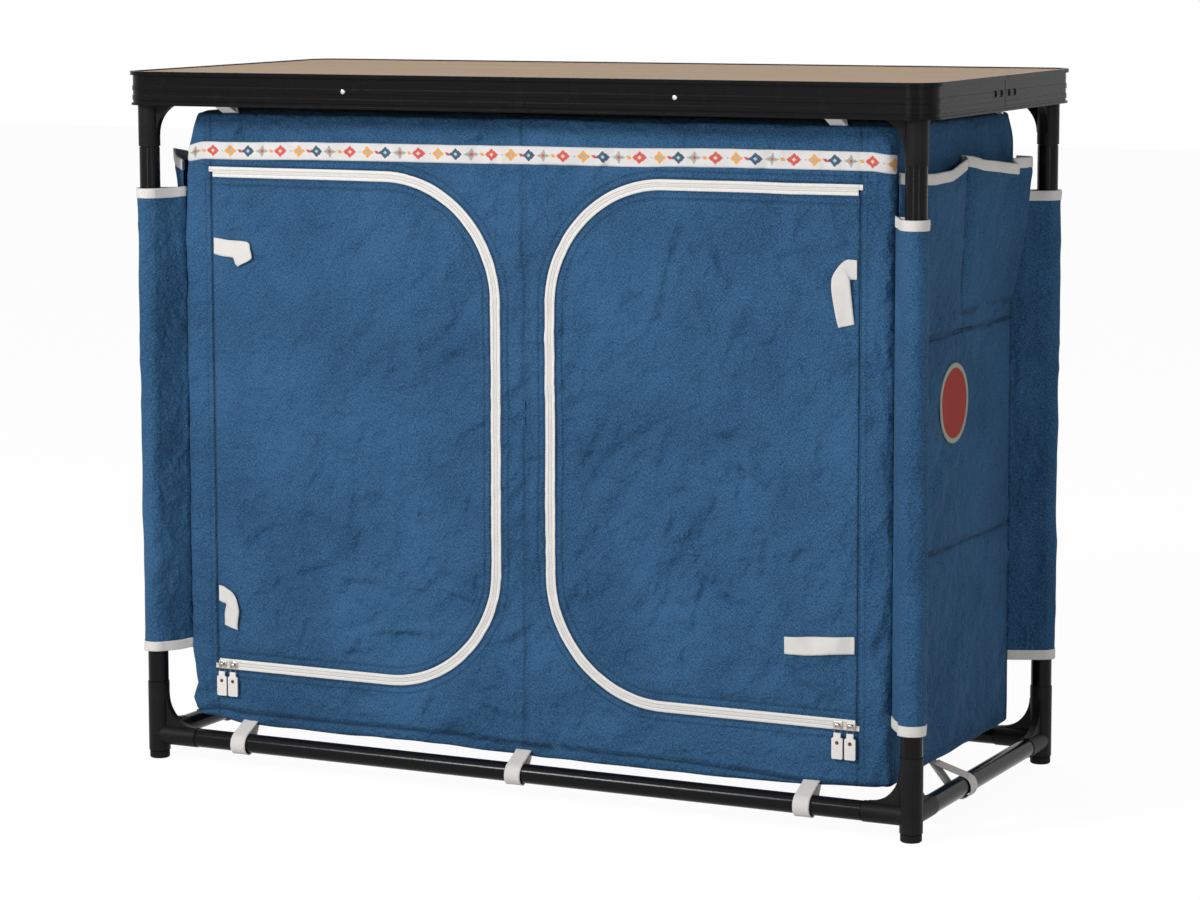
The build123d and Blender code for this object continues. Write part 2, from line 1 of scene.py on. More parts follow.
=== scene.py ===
"""A camping cupboard: blue heather cloth hung in a black tube frame under a folding worktop.

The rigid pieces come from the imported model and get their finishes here. Cloth, zips, webbing and the
zip pulls are modelled here, in metres, in the same place as the solids they stand for.
"""

import json
from math import cos, hypot, pi, radians, sin

import bpy
import numpy as np
from mathutils import Matrix, Vector


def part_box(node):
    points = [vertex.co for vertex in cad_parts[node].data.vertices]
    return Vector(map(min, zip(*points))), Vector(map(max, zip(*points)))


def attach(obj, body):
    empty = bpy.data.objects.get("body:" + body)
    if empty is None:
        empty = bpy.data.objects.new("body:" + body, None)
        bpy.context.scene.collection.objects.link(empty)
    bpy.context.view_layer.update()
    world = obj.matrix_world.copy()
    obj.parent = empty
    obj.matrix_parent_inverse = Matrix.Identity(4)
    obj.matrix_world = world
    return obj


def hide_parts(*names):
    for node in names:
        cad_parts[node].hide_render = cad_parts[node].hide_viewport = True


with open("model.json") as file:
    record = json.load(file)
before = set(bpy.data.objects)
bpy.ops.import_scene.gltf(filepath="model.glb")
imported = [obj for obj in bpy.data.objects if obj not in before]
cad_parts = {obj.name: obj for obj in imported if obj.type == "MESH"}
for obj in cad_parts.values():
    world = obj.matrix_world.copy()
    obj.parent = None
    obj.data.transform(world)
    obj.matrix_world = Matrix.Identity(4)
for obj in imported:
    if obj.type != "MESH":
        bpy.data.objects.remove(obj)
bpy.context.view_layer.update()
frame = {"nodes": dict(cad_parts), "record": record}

bl_info = {
    "name": "Camping Cupboard",
    "version": (1, 0, 0),
    "blender": (4, 5, 0),
    "location": "View3D > Sidebar > Cupboard",
    "description": "Dresses a camping cupboard in cloth, zips, webbing and finishes",
    "category": "Object",
}

MM = 0.001
back_low, back_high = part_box("back_panel")
WALL_X, WALL_Y = back_high.x, back_high.y
WALL_LOW, WALL_TOP = back_low.z, back_high.z
WALL_ROUND = 10 * MM
FLAT_X, FLAT_Y = WALL_X - WALL_ROUND, WALL_Y - WALL_ROUND
CORNER_RUN = pi / 2 * WALL_ROUND
SIDE_START = FLAT_X + CORNER_RUN
SIDE_END = SIDE_START + 2 * FLAT_Y
BACK_START = SIDE_END + CORNER_RUN
BACK_END = BACK_START + 2 * FLAT_X

HINGE_X = 404 * MM
DOOR_INNER = 34 * MM
DOOR_RADIUS = 140 * MM
DOOR_TURN = DOOR_INNER + DOOR_RADIUS
DOOR_LOW, DOOR_TOP = 115.5 * MM, 695.5 * MM
CUT = 2 * MM
SHELF_HEIGHTS = (288.3 * MM, 526.7 * MM)
LEG_X, LEG_Y = 475 * MM, 210.5 * MM
EDGE_ROUND = 4 * MM
ZIP_FLAT = HINGE_X - 2 * MM - DOOR_TURN
ZIP_UPRIGHT = DOOR_TOP - DOOR_LOW - 2 * DOOR_RADIUS
ZIP_RUN = 2 * ZIP_FLAT + pi * DOOR_RADIUS + ZIP_UPRIGHT
SIDES = (("left", -1), ("right", 1))


# Sizes and colours


class CupboardCloth(bpy.types.PropertyGroup):
    """Sizes and colours of the blue cloth."""

    light_blue: bpy.props.FloatVectorProperty(
        name="Light yarn", description="Colour of the paler yarn in the heather cloth", subtype="COLOR",
        size=3, min=0, max=1, default=(0.044, 0.132, 0.262))
    dark_blue: bpy.props.FloatVectorProperty(
        name="Dark yarn", description="Colour of the darker yarn in the heather cloth", subtype="COLOR",
        size=3, min=0, max=1, default=(0.0135, 0.047, 0.104))
    # the thread colour also serves as the colour of the painted shade along the cloth's seams
    thread_and_seam_shade_blue: bpy.props.FloatVectorProperty(
        name="Thread", description="Colour of the seams' thread", subtype="COLOR",
        size=3, min=0, max=1, default=(0.004, 0.013, 0.030))
    drape: bpy.props.FloatProperty(
        name="Drape", description="Depth of the wide, soft waves in the walls", unit="LENGTH",
        min=0, max=0.006, default=0.0040)
    crumple: bpy.props.FloatProperty(
        name="Crumple", description="Depth of the small dents and ridges", unit="LENGTH",
        min=0, max=0.006, default=0.0034)
    thickness: bpy.props.FloatProperty(
        name="Cloth thickness", description="Thickness of the walls' cloth", unit="LENGTH",
        min=0.0003, max=0.003, default=0.001)


class CupboardTrim(bpy.types.PropertyGroup):
    """Sizes and colours of zips, webbing, ribbon and patch."""

    white: bpy.props.FloatVectorProperty(
        name="White trim", description="Colour of webbing, hems and zip tape", subtype="COLOR",
        size=3, min=0, max=1, default=(0.73, 0.705, 0.675))
    ribbon_ground: bpy.props.FloatVectorProperty(
        name="Ribbon ground", description="Ground colour of the woven ribbon", subtype="COLOR",
        size=3, min=0, max=1, default=(0.74, 0.72, 0.71))
    patch_red: bpy.props.FloatVectorProperty(
        name="Patch", description="Colour of the round patch", subtype="COLOR",
        size=3, min=0, max=1, default=(0.47, 0.036, 0.018))
    patch_border: bpy.props.FloatVectorProperty(
        name="Patch border", description="Colour of the patch's stitched border", subtype="COLOR",
        size=3, min=0, max=1, default=(0.50, 0.56, 0.44))
    repeat: bpy.props.FloatProperty(
        name="Ribbon repeat", description="Length of one repeat of the ribbon's diamonds", unit="LENGTH",
        min=0.04, max=0.2, default=0.091)
    scallop: bpy.props.FloatProperty(
        name="Zip edge scallop", description="Length of one scallop along the zip tape's edge", unit="LENGTH",
        min=0.001, max=0.006, default=0.0018)


class CupboardHardware(bpy.types.PropertyGroup):
    """Colours of frame, worktop and fittings."""

    black: bpy.props.FloatVectorProperty(
        name="Tube black", description="Colour of the painted tubes", subtype="COLOR",
        size=3, min=0, max=1, default=(0.0042, 0.0042, 0.0044))
    board: bpy.props.FloatVectorProperty(
        name="Board", description="Colour of the worktop's laminate", subtype="COLOR",
        size=3, min=0, max=1, default=(0.370, 0.248, 0.142))
    brass: bpy.props.FloatVectorProperty(
        name="Eyelet", description="Colour of the pull tabs' eyelets", subtype="COLOR",
        size=3, min=0, max=1, default=(0.13, 0.060, 0.035))


class CupboardStage(bpy.types.PropertyGroup):
    """Floor and light."""

    floor: bpy.props.FloatVectorProperty(
        name="Floor", description="Colour of the floor", subtype="COLOR",
        size=3, min=0, max=1, default=(0.86, 0.86, 0.86))
    sky: bpy.props.FloatProperty(
        name="Sky", description="Strength of the even light from all round", min=0, max=1, default=0.25)
    key: bpy.props.FloatProperty(
        name="Key light", description="Power of the large soft box at the front left", unit="POWER",
        min=0, max=600, default=114)


# Materials


class Wire:
    """A value or colour in a material. The usual signs add the Math nodes that they stand for."""

    def __init__(self, nodes, socket):
        self.nodes = nodes
        self.socket = socket

    def math(self, operation, *others):
        return self.nodes.node("ShaderNodeMath", {"operation": operation}, dict(enumerate((self, *others))))["Value"]

    def __add__(self, other):
        return self.math("ADD", other)

    def __sub__(self, other):
        return self.math("SUBTRACT", other)

    def __rsub__(self, other):
        return (self - other) * -1

    def __mul__(self, other):
        return self.math("MULTIPLY", other)

    def __truediv__(self, other):
        return self.math("DIVIDE", other)

    def __gt__(self, other):
        return self.math("GREATER_THAN", other)

    def __lt__(self, other):
        return self.math("LESS_THAN", other)

    def __abs__(self):
        return self.math("ABSOLUTE")

    __radd__, __rmul__ = __add__, __mul__

    def wave(self, length):
        """A sine of the given length."""
        return (self * (2 * pi / length)).math("SINE")

    def eased(self, low, high):
        """0 at low, 1 at high, eased between."""
        settings = {"interpolation_type": "SMOOTHSTEP"}
        return self.nodes.node("ShaderNodeMapRange", settings, {0: self, 1: low, 2: high})["Result"]


class Outputs:
    """The outputs of one node, by name."""

    def __init__(self, nodes, node):
        self.nodes = nodes
        self.node = node

    def __getitem__(self, name):
        return Wire(self.nodes, next(s for s in self.node.outputs if s.enabled and s.name == name))


class Nodes:
    """The node tree of a material or of the world, and its last node."""

    def __init__(self, owner, last):
        owner.use_nodes = True
        self.tree = owner.node_tree
        self.last = self.tree.nodes[last]

    def feed(self, socket, value):
        """Links a socket, or sets its value."""
        if isinstance(value, Wire):
            self.tree.links.new(value.socket, socket)
        else:
            socket.default_value = value

    def node(self, kind, settings=None, sockets=None):
        """Adds one node: its settings first, then the values or links of its sockets."""
        node = self.tree.nodes.new(kind)
        for key, value in (settings or {}).items():
            setattr(node, key, value)
        for key, value in (sockets or {}).items():
            self.feed(node.inputs[key] if isinstance(key, int) else next(
                s for s in node.inputs if s.enabled and s.name == key), value)
        return Outputs(self, node)

    def seen_as(self, other, share=1.0):
        """Shows another shader to rays from the camera, also where metal or glass sends them on."""
        path = self.node("ShaderNodeLightPath")
        seen = path["Is Camera Ray"]
        for ray in ("Is Glossy Ray", "Is Transmission Ray"):
            seen = seen.math("MAXIMUM", path[ray])
        own = self.last.inputs["Surface"].links[0].from_socket
        blend = self.node("ShaderNodeMixShader", None, {0: seen * share, 1: Wire(self, own), 2: other})
        self.feed(self.last.inputs["Surface"], blend["Shader"])


class Finish(Nodes):
    """One finish of the cupboard, as a material with a node tree."""

    def __init__(self, name, roughness=0.5, **constants):
        self.material = bpy.data.materials.new(name)
        super().__init__(self.material, "Material Output")
        self.shader = self.tree.nodes["Principled BSDF"]
        self.paint(roughness=roughness, **constants)

    def place(self):
        return self.node("ShaderNodeTexCoord")["Object"]

    def cloth_place(self):
        return self.node("ShaderNodeUVMap", {"uv_map": "cloth"})["UV"]

    def parts(self, vector):
        split = self.node("ShaderNodeSeparateXYZ", None, {"Vector": vector})
        return split["X"], split["Y"], split["Z"]

    def stretched(self, vector, x, y, z):
        return self.node("ShaderNodeMapping", None, {"Vector": vector, "Scale": (x, y, z)})["Vector"]

    def noise(self, vector, scale, detail=2.0, roughness=0.5):
        sockets = {"Vector": vector, "Scale": scale, "Detail": detail, "Roughness": roughness}
        return self.node("ShaderNodeTexNoise", None, sockets)["Fac"]

    def mix(self, share, first, second):
        """A colour between two, by share."""
        first, second = (value if isinstance(value, Wire) else (*value, 1.0) for value in (first, second))
        return self.node("ShaderNodeMix", {"data_type": "RGBA"}, {"Factor": share, "A": first, "B": second})["Result"]

    def bump(self, height, distance, strength=1.0, under=None):
        sockets = {"Height": height, "Distance": distance, "Strength": strength}
        if under is not None:
            sockets["Normal"] = under
        return self.node("ShaderNodeBump", None, sockets)["Normal"]

    def paint(self, **sockets):
        """Feeds the shader's own sockets."""
        for words, value in sockets.items():
            self.feed(self.shader.inputs[words.replace("_", " ").title().replace("Ior", "IOR")], value)
        return self.material


def tinted(colour, amount):
    """A colour made darker or lighter."""
    return tuple(min(1, amount * part) for part in colour)


def heather_cloth(settings):
    """Blue polyester in two yarns, with slubs both ways, a fine weave, small creases and painted shade along its
    seams.
    """
    finish = Finish("heather_cloth", roughness=0.84, sheen_weight=0.05, sheen_roughness=0.4,
                    sheen_tint=(0.55, 0.75, 1.0, 1.0), specular_ior_level=0.12)
    at = finish.cloth_place()
    upright = finish.noise(finish.stretched(at, 1400, 360, 1), 1.0, 2, 0.6)
    across = finish.noise(finish.stretched(at, 360, 1400, 1), 1.0, 2, 0.6)
    mottle = finish.noise(at, 760, 2, 0.6)
    cloud = finish.noise(finish.place(), 9, 3, 0.55)
    yarn = upright * 0.40 + across * 0.40 + mottle * 0.26 + cloud * 0.16
    share = yarn.eased(0.52, 0.70)
    u, v, _ = finish.parts(at)
    weave = u.wave(0.0011) * v.wave(0.0011)
    creases = 1 - abs(finish.noise(finish.place(), 34, 3, 0.55) * 4 - 2)
    fine = finish.bump(weave * 0.5 + mottle, 0.00025, 0.4)
    normal = finish.bump(creases, 0.0046, 0.7, fine)
    colour = finish.mix(share, settings.dark_blue, settings.light_blue)
    # painted shade along seams and stitched rows: the seam attribute darkens the cloth towards the thread colour
    seam = finish.node("ShaderNodeAttribute", {"attribute_name": "seam"})["Fac"]
    seam_shade_mottle = 0.55 + 0.45 * mottle.eased(0.35, 0.6)
    colour = finish.mix(seam * seam_shade_mottle, colour, settings.thread_and_seam_shade_blue)
    return finish.paint(base_color=colour, roughness=0.76 + mottle * 0.16, normal=normal)


def seam_thread(settings):
    """Matt twisted thread, darker than the cloth: partly its own colour, partly painted shade of the puckered stitch
    holes.
    """
    finish = Finish("seam_thread", roughness=0.8, specular_ior_level=0.2)
    twist = finish.noise(finish.place(), 1800, 2, 0.5)
    colour = finish.mix(twist * 0.4, settings.thread_and_seam_shade_blue, settings.dark_blue)
    return finish.paint(base_color=colour, normal=finish.bump(twist, 0.0002, 0.6))


def webbing(white):
    """White woven webbing: fine ribs across it, single yarns and a little dust."""
    finish = Finish("white_webbing", roughness=0.78, sheen_weight=0.12, sheen_roughness=0.5)
    at = finish.cloth_place()
    u, v, _ = finish.parts(at)
    ribs = (u * (2 * pi / 0.0014) + v.wave(0.0021) * 0.7).math("SINE")
    yarns = v.wave(0.0009)
    grain = finish.noise(at, 900, 2, 0.6)
    dust = finish.noise(finish.place(), 26, 4, 0.6)
    shade = 0.05 * ribs + 0.28 * (grain - 0.5) + 0.35 * (dust - 0.5)
    colour = finish.mix((shade + 0.62).eased(0.1, 0.9), tinted(white, 0.80), white)
    normal = finish.bump(ribs * 0.5 + yarns * 0.3 + grain * 0.6, 0.0004, 0.5)
    return finish.paint(base_color=colour, normal=normal)


def zip_tape(white):
    """Glossy white zip tape with fine teeth under the coating, and painted shade in the grooves beside the teeth."""
    finish = Finish("zip_tape", specular_ior_level=0.4)
    u, v, _ = finish.parts(finish.cloth_place())
    teeth = u.wave(0.0018)
    # painted shade: grey lines in the grooves on both sides of the teeth
    groove_shade = 1 - abs(abs(v) - 0.0020).eased(0.00015, 0.00060)
    grain = finish.noise(finish.place(), 700, 3, 0.6)
    pale = finish.mix(grain.eased(0.3, 0.8), tinted(white, 0.93), tinted(white, 1.06))
    grey = finish.mix(0.72, white, (0.16, 0.16, 0.17))
    colour = finish.mix(groove_shade * 0.62, pale, grey)
    coil = 1 - abs(v).eased(0.0012, 0.0019)
    normal = finish.bump(teeth * coil * 0.6 + grain * 0.4, 0.0003, 0.5)
    return finish.paint(base_color=colour, normal=normal, roughness=0.42 + 0.2 * grain)


def woven_ribbon(settings):
    """A white ribbon woven with stepped diamonds and stars in red, orange, navy and grey-green."""
    finish = Finish("woven_ribbon", roughness=0.7, sheen_weight=0.15, sheen_roughness=0.5)
    at = finish.cloth_place()
    u, v, _ = finish.parts(at)
    step = 0.00118
    repeat = settings.repeat / step
    turns = u / settings.repeat
    cell = ((turns - turns.math("FLOOR")) * repeat).math("FLOOR") + 0.5
    row = v / step
    level = abs(row.math("ROUND"))
    ground = settings.ribbon_ground
    colour = finish.mix(finish.noise(at, 1500, 2, 0.6), tinted(ground, 0.86), tinted(ground, 1.08))

    def away(centre):
        """Cells from a motif's centre, with the repeat's two ends joined."""
        gap = abs(cell - centre * repeat)
        return gap.math("MINIMUM", repeat - gap)

    def diamond(centre, width, height):
        return (away(centre) / width + level / height) < 1

    def star(centre, reach, waist):
        gap = away(centre)
        return (gap * level < waist) * (gap + level * 1.05 < reach)

    def dash(centre, half, slope):
        gap = abs(cell - centre * repeat + (row - 0.3) * slope)
        return (gap < half) * (level < 1.6)

    red, orange = (0.62, 0.055, 0.035), (0.80, 0.34, 0.035)
    navy, green = (0.012, 0.040, 0.095), (0.33, 0.36, 0.31)
    motifs = [
        (diamond(0.0, 7.0, 6.1), red), (diamond(0.0, 2.4, 2.1), (0.78, 0.60, 0.50)),
        (dash(0.148, 0.9, 0.0) * (level < 0.6), navy),
        (star(0.263, 6.3, 8.1), orange), (diamond(0.263, 2.3, 2.2), (0.36, 0.42, 0.45)),
        (dash(0.40, 2.0, 0.8), (0.55, 0.03, 0.06)),
        (diamond(0.52, 6.8, 6.0), navy), (diamond(0.52, 2.3, 2.2), (0.30, 0.62, 0.68)),
        (star(0.726, 6.6, 5.0), green), (diamond(0.726, 2.0, 2.3), red),
        (dash(0.862, 2.0, 0.4), orange),
    ]
    for mask, paint in motifs:
        colour = finish.mix(mask * 0.95, colour, paint)
    stitch = (u.wave(0.0030) > 0.0) * abs(v).eased(0.0093, 0.0098)
    colour = finish.mix(stitch * 0.5, colour, (0.30, 0.34, 0.42))
    threads = u.wave(step) * 0.5 + v.wave(step)
    return finish.paint(base_color=colour, normal=finish.bump(threads, 0.00022, 0.6))


def painted_tube(black):
    """Black powder paint on a tube: a fine orange peel, faint draw lines and small rubs."""
    finish = Finish("black_tube", specular_ior_level=0.11)
    at = finish.place()
    peel = finish.noise(at, 900, 2, 0.5)
    rubs = finish.noise(finish.stretched(at, 40, 40, 12), 1.0, 5, 0.7).eased(0.56, 0.80)
    dust = finish.noise(at, 6, 4, 0.6)
    colour = finish.mix(rubs * 0.35 + dust * 0.12, black, (0.024, 0.024, 0.025))
    rough = 0.13 + rubs * 0.14 + dust * 0.07
    return finish.paint(base_color=colour, roughness=rough, normal=finish.bump(peel, 0.00012, 0.35))


def moulded_black(name, black, roughness=0.46, grain=1500):
    """Black moulded nylon with a fine grain and paler rubbed places."""
    finish = Finish(name, specular_ior_level=0.11)
    at = finish.place()
    spark = finish.noise(at, grain, 3, 0.65)
    flow = finish.noise(at, 18, 4, 0.6)
    colour = finish.mix(flow.eased(0.35, 0.85) * 0.5, black, (0.020, 0.020, 0.021))
    rough = roughness - 0.06 + 0.12 * flow
    return finish.paint(base_color=colour, roughness=rough, normal=finish.bump(spark, 0.0003, 0.5))


def rim_paint(black):
    """Black anodised profile: fine lines along it and a soft shine."""
    finish = Finish("black_rim", specular_ior_level=0.08)
    at = finish.place()
    lines = finish.noise(finish.stretched(at, 5, 5, 1400), 1.0, 3, 0.6)
    rubs = finish.noise(at, 30, 5, 0.7).eased(0.55, 0.85)
    colour = finish.mix(rubs * 0.3, black, (0.018, 0.018, 0.019))
    _, y, _ = finish.parts(at)
    joint = abs(y) < 0.0008
    colour = finish.mix(joint, colour, (0.0, 0.0, 0.0))
    rough = 0.22 + lines * 0.10 + rubs * 0.12 + joint * 0.5
    rounded = finish.node("ShaderNodeBevel", {"samples": 4}, {"Radius": 0.0009})["Normal"]
    return finish.paint(base_color=colour, metallic=joint, roughness=rough,
                        normal=finish.bump(lines, 0.0002, 0.35, rounded))


def rivet_metal(black):
    """Blackened rivets, those of the front and rear worn down to bare metal."""
    finish = Finish("black_rivet", specular_ior_level=0.02)
    at = finish.place()
    _, y, _ = finish.parts(at)
    bare = abs(y) > 0.2
    scratch = finish.noise(at, 900, 3, 0.6)
    silver = finish.mix(scratch, (0.42, 0.42, 0.43), (0.72, 0.72, 0.73))
    colour = finish.mix(bare, finish.mix(scratch * 0.3, (0.001, 0.001, 0.001), black), silver)
    return finish.paint(base_color=colour, metallic=bare, roughness=0.2 + 0.14 * scratch,
                        normal=finish.bump(scratch, 0.0001, 0.3))


def laminate(board):
    """Pale wood laminate: long grain, darker growth lines and fine pores."""
    finish = Finish("worktop_board", specular_ior_level=0.03)
    at = finish.place()
    rings = finish.noise(finish.stretched(at, 1.6, 42, 42), 1.0, 5, 0.62)
    fibre = finish.noise(finish.stretched(at, 18, 900, 900), 1.0, 3, 0.6)
    pores = finish.noise(finish.stretched(at, 60, 1900, 1900), 1.0, 2, 0.5).eased(0.62, 0.78)
    colour = finish.mix((rings * 0.6 + fibre * 0.4).eased(0.25, 0.75), tinted(board, 0.80), tinted(board, 1.12))
    colour = finish.mix(pores * 0.35, colour, tinted(board, 0.4))
    normal = finish.bump(fibre - pores * 0.5, 0.0002, 0.4)
    return finish.paint(base_color=colour, roughness=0.36 + 0.14 * fibre, normal=normal)


def metal(name, colour, roughness, scale=500):
    """Plated metal with fine scratches and a little tarnish."""
    finish = Finish(name, metallic=1.0)
    at = finish.place()
    scratch = finish.noise(finish.stretched(at, 3, 3, 1), scale, 4, 0.7)
    tarnish = finish.noise(at, 120, 4, 0.6).eased(0.45, 0.85)
    shade = finish.mix(tarnish * 0.35, colour, tinted(colour, 0.45))
    rough = roughness - 0.05 + 0.2 * scratch
    return finish.paint(base_color=shade, roughness=rough, normal=finish.bump(scratch, 0.0001, 0.4))


def tab_leather(white):
    """Smooth white imitation leather with a fine grain and slightly greyed handled patches."""
    finish = Finish("pull_tab", specular_ior_level=0.4, coat_weight=0.1)
    at = finish.place()
    cells = finish.node("ShaderNodeTexVoronoi", {"feature": "DISTANCE_TO_EDGE"}, {"Vector": at, "Scale": 1500})
    grain = cells["Distance"].eased(0.0, 0.25)
    handled = finish.noise(at, 160, 4, 0.6).eased(0.4, 0.85)
    colour = finish.mix(handled * 0.3, tinted(white, 1.05), tinted(white, 0.72))
    return finish.paint(base_color=colour, roughness=0.4 + 0.15 * handled, normal=finish.bump(grain, 0.00015, 0.5))


def floor_board_finish():
    """Stiff grey fibre board."""
    finish = Finish("floor_board", roughness=0.85)
    at = finish.place()
    fibres = finish.noise(finish.stretched(at, 90, 500, 300), 1.0, 4, 0.7)
    flecks = finish.noise(at, 700, 2, 0.6).eased(0.6, 0.72)
    colour = finish.mix(fibres, (0.052, 0.050, 0.047), (0.12, 0.115, 0.105))
    colour = finish.mix(flecks * 0.4, colour, (0.20, 0.19, 0.17))
    return finish.paint(base_color=colour, normal=finish.bump(fibres, 0.0006, 0.5))


def patch_cloth(settings):
    """Close red-orange embroidery in slanting rows."""
    finish = Finish("patch_cloth", roughness=0.7, specular_ior_level=0.2, sheen_weight=0.08, sheen_roughness=0.4)
    u, v, _ = finish.parts(finish.cloth_place())
    rows = (u + v * 0.35).wave(0.0013)
    ends = finish.noise(finish.stretched(finish.cloth_place(), 900, 160, 1), 1.0, 3, 0.6)
    colour = finish.mix(rows * 0.18 + ends * 0.8, tinted(settings.patch_red, 0.62), settings.patch_red)
    return finish.paint(base_color=colour, normal=finish.bump(rows + ends, 0.0004, 0.6))


def patch_edge(settings):
    """A pale green stitched border, its threads across the edge."""
    finish = Finish("patch_border", roughness=0.65, sheen_weight=0.2)
    u, _, _ = finish.parts(finish.cloth_place())
    threads = u.wave(0.0009)
    grain = finish.noise(finish.place(), 900, 2, 0.5)
    colour = finish.mix(threads * 0.25 + grain * 0.7, tinted(settings.patch_border, 0.6), settings.patch_border)
    return finish.paint(base_color=colour, normal=finish.bump(threads, 0.0004, 0.7))


finishes = {}


def make_finishes(scene):
    """All finishes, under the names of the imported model's slots where one fits."""
    hardware, trim, cloth = scene.cupboard_hardware, scene.cupboard_trim, scene.cupboard_cloth
    black, white = tuple(hardware.black), tuple(trim.white)
    finishes.update({
        "blue_fabric": heather_cloth(cloth),
        "thread": seam_thread(cloth),
        "black_tube": painted_tube(black),
        "black_corner": moulded_black("black_corner", black),
        "black_foot": moulded_black("black_foot", black, 0.62, 700),
        "worktop_board": laminate(tuple(hardware.board)),
        "floor_board": floor_board_finish(),
        "black_rim": rim_paint(black),
        "black_rivet": rivet_metal(black),
        "hinge_steel": metal("hinge_steel", (0.52, 0.53, 0.55), 0.32),
        "woven_ribbon": woven_ribbon(trim),
        "zip_tape": zip_tape(white),
        "slider_metal": metal("slider_metal", (0.46, 0.43, 0.39), 0.20, 900),
        "link_metal": metal("link_metal", (0.34, 0.27, 0.19), 0.26, 900),
        "eyelet_metal": metal("eyelet_metal", tuple(hardware.brass), 0.36, 900),
        "pull_tab": tab_leather(white),
        "white_webbing": webbing(white),
        "patch_cloth": patch_cloth(trim),
        "patch_border": patch_edge(trim),
    })


# Shapes shared by the cloth pieces


def smooth(value, low, high):
    """0 below low, 1 above high, eased between."""
    share = np.clip((value - low) / (high - low), 0, 1)
    return share * share * (3 - 2 * share)


def line(distance, width):
    """1 on a line, fading out over its width."""
    return np.exp(-(distance / width) ** 2)


def ripples(a, b, size, seed):
    """Smooth noise from -1 to 1, its bumps about size apart."""
    table = np.random.default_rng(seed).uniform(-1, 1, (97, 89))
    a, b = np.asarray(a) / size + 31.7, np.asarray(b) / size + 17.3
    column, row = np.floor(a).astype(int), np.floor(b).astype(int)
    a, b = a - column, b - row
    a, b = a * a * (3 - 2 * a), b * b * (3 - 2 * b)

    def knot(right, up):
        return table[(column + right) % 97, (row + up) % 89]

    low = knot(0, 0) * (1 - a) + knot(1, 0) * a
    high = knot(0, 1) * (1 - a) + knot(1, 1) * a
    return low * (1 - b) + high * b


def crumpled(a, b, size, seed):
    """Sharp low ridges round soft dents, from -1 to 1, as in cloth that was folded in a bag."""
    bent_a = a + 0.45 * size * ripples(a, b, 0.9 * size, seed + 1)
    bent_b = b + 0.45 * size * ripples(a, b, 0.9 * size, seed + 2)
    return 1 - 2 * np.abs(ripples(0.83 * bent_a - 0.56 * bent_b, 0.56 * bent_a + 0.83 * bent_b, size, seed))


def crease(a, b, points, depth, width):
    """A sharp valley along a line of points, with a soft ridge on its left."""
    height = np.zeros_like(a)
    nearest = np.full_like(a, 9.0)
    runs = [hypot(q[0] - p[0], q[1] - p[1]) for p, q in zip(points, points[1:])]
    done = 0.0
    for (p, q), run in zip(zip(points, points[1:]), runs):
        ax, az = (q[0] - p[0]) / run, (q[1] - p[1]) / run
        along = (a - p[0]) * ax + (b - p[1]) * az
        held = np.clip(along, 0, run)
        gap = np.hypot(a - p[0] - held * ax, b - p[1] - held * az)
        left = (b - p[1]) * ax - (a - p[0]) * az
        share = (done + held) / sum(runs)
        fade = np.sin(pi * np.clip(share, 0, 1)) * line(along - held, 1.5 * width)
        valley = -np.exp(0.4 - np.hypot(left / width, 0.4))
        ridge = 0.75 * line(left - 2.4 * width, 1.7 * width)
        closer = gap < nearest
        height = np.where(closer, depth * fade * (valley + ridge), height)
        nearest = np.minimum(gap, nearest)
        done += run
    return height


def creased(a, b, lines):
    """The height that a list of creases adds."""
    height = np.zeros_like(a)
    for points, depth, width in lines:
        reach = 9 * width
        low, high = np.min(points, axis=0) - reach, np.max(points, axis=0) + reach
        near = (a > low[0]) & (a < high[0]) & (b > low[1]) & (b < high[1])
        if near.any():
            height[near] += crease(a[near], b[near], points, depth, width)
    return height


def stray_creases(seed, count, low, high, shortest, longest, depth, widths=(0.0038, 0.0085)):
    """Short creases scattered over an area, mostly slanting."""
    chance = np.random.default_rng(seed)
    lines = []
    for _ in range(count):
        x, z = chance.uniform(low[0], high[0]), chance.uniform(low[1], high[1])
        heading = chance.choice([0.5, 0.9, 2.2, 2.6, 1.3]) + chance.normal(0, 0.35)
        run = chance.uniform(shortest, longest)
        bend = chance.normal(0, 0.35)
        middle = (x + 0.5 * run * cos(heading), z + 0.5 * run * sin(heading))
        end = (middle[0] + 0.5 * run * cos(heading + bend), middle[1] + 0.5 * run * sin(heading + bend))
        lines.append(([(x, z), middle, end], depth * chance.uniform(0.4, 1.0), chance.uniform(*widths)))
    return lines


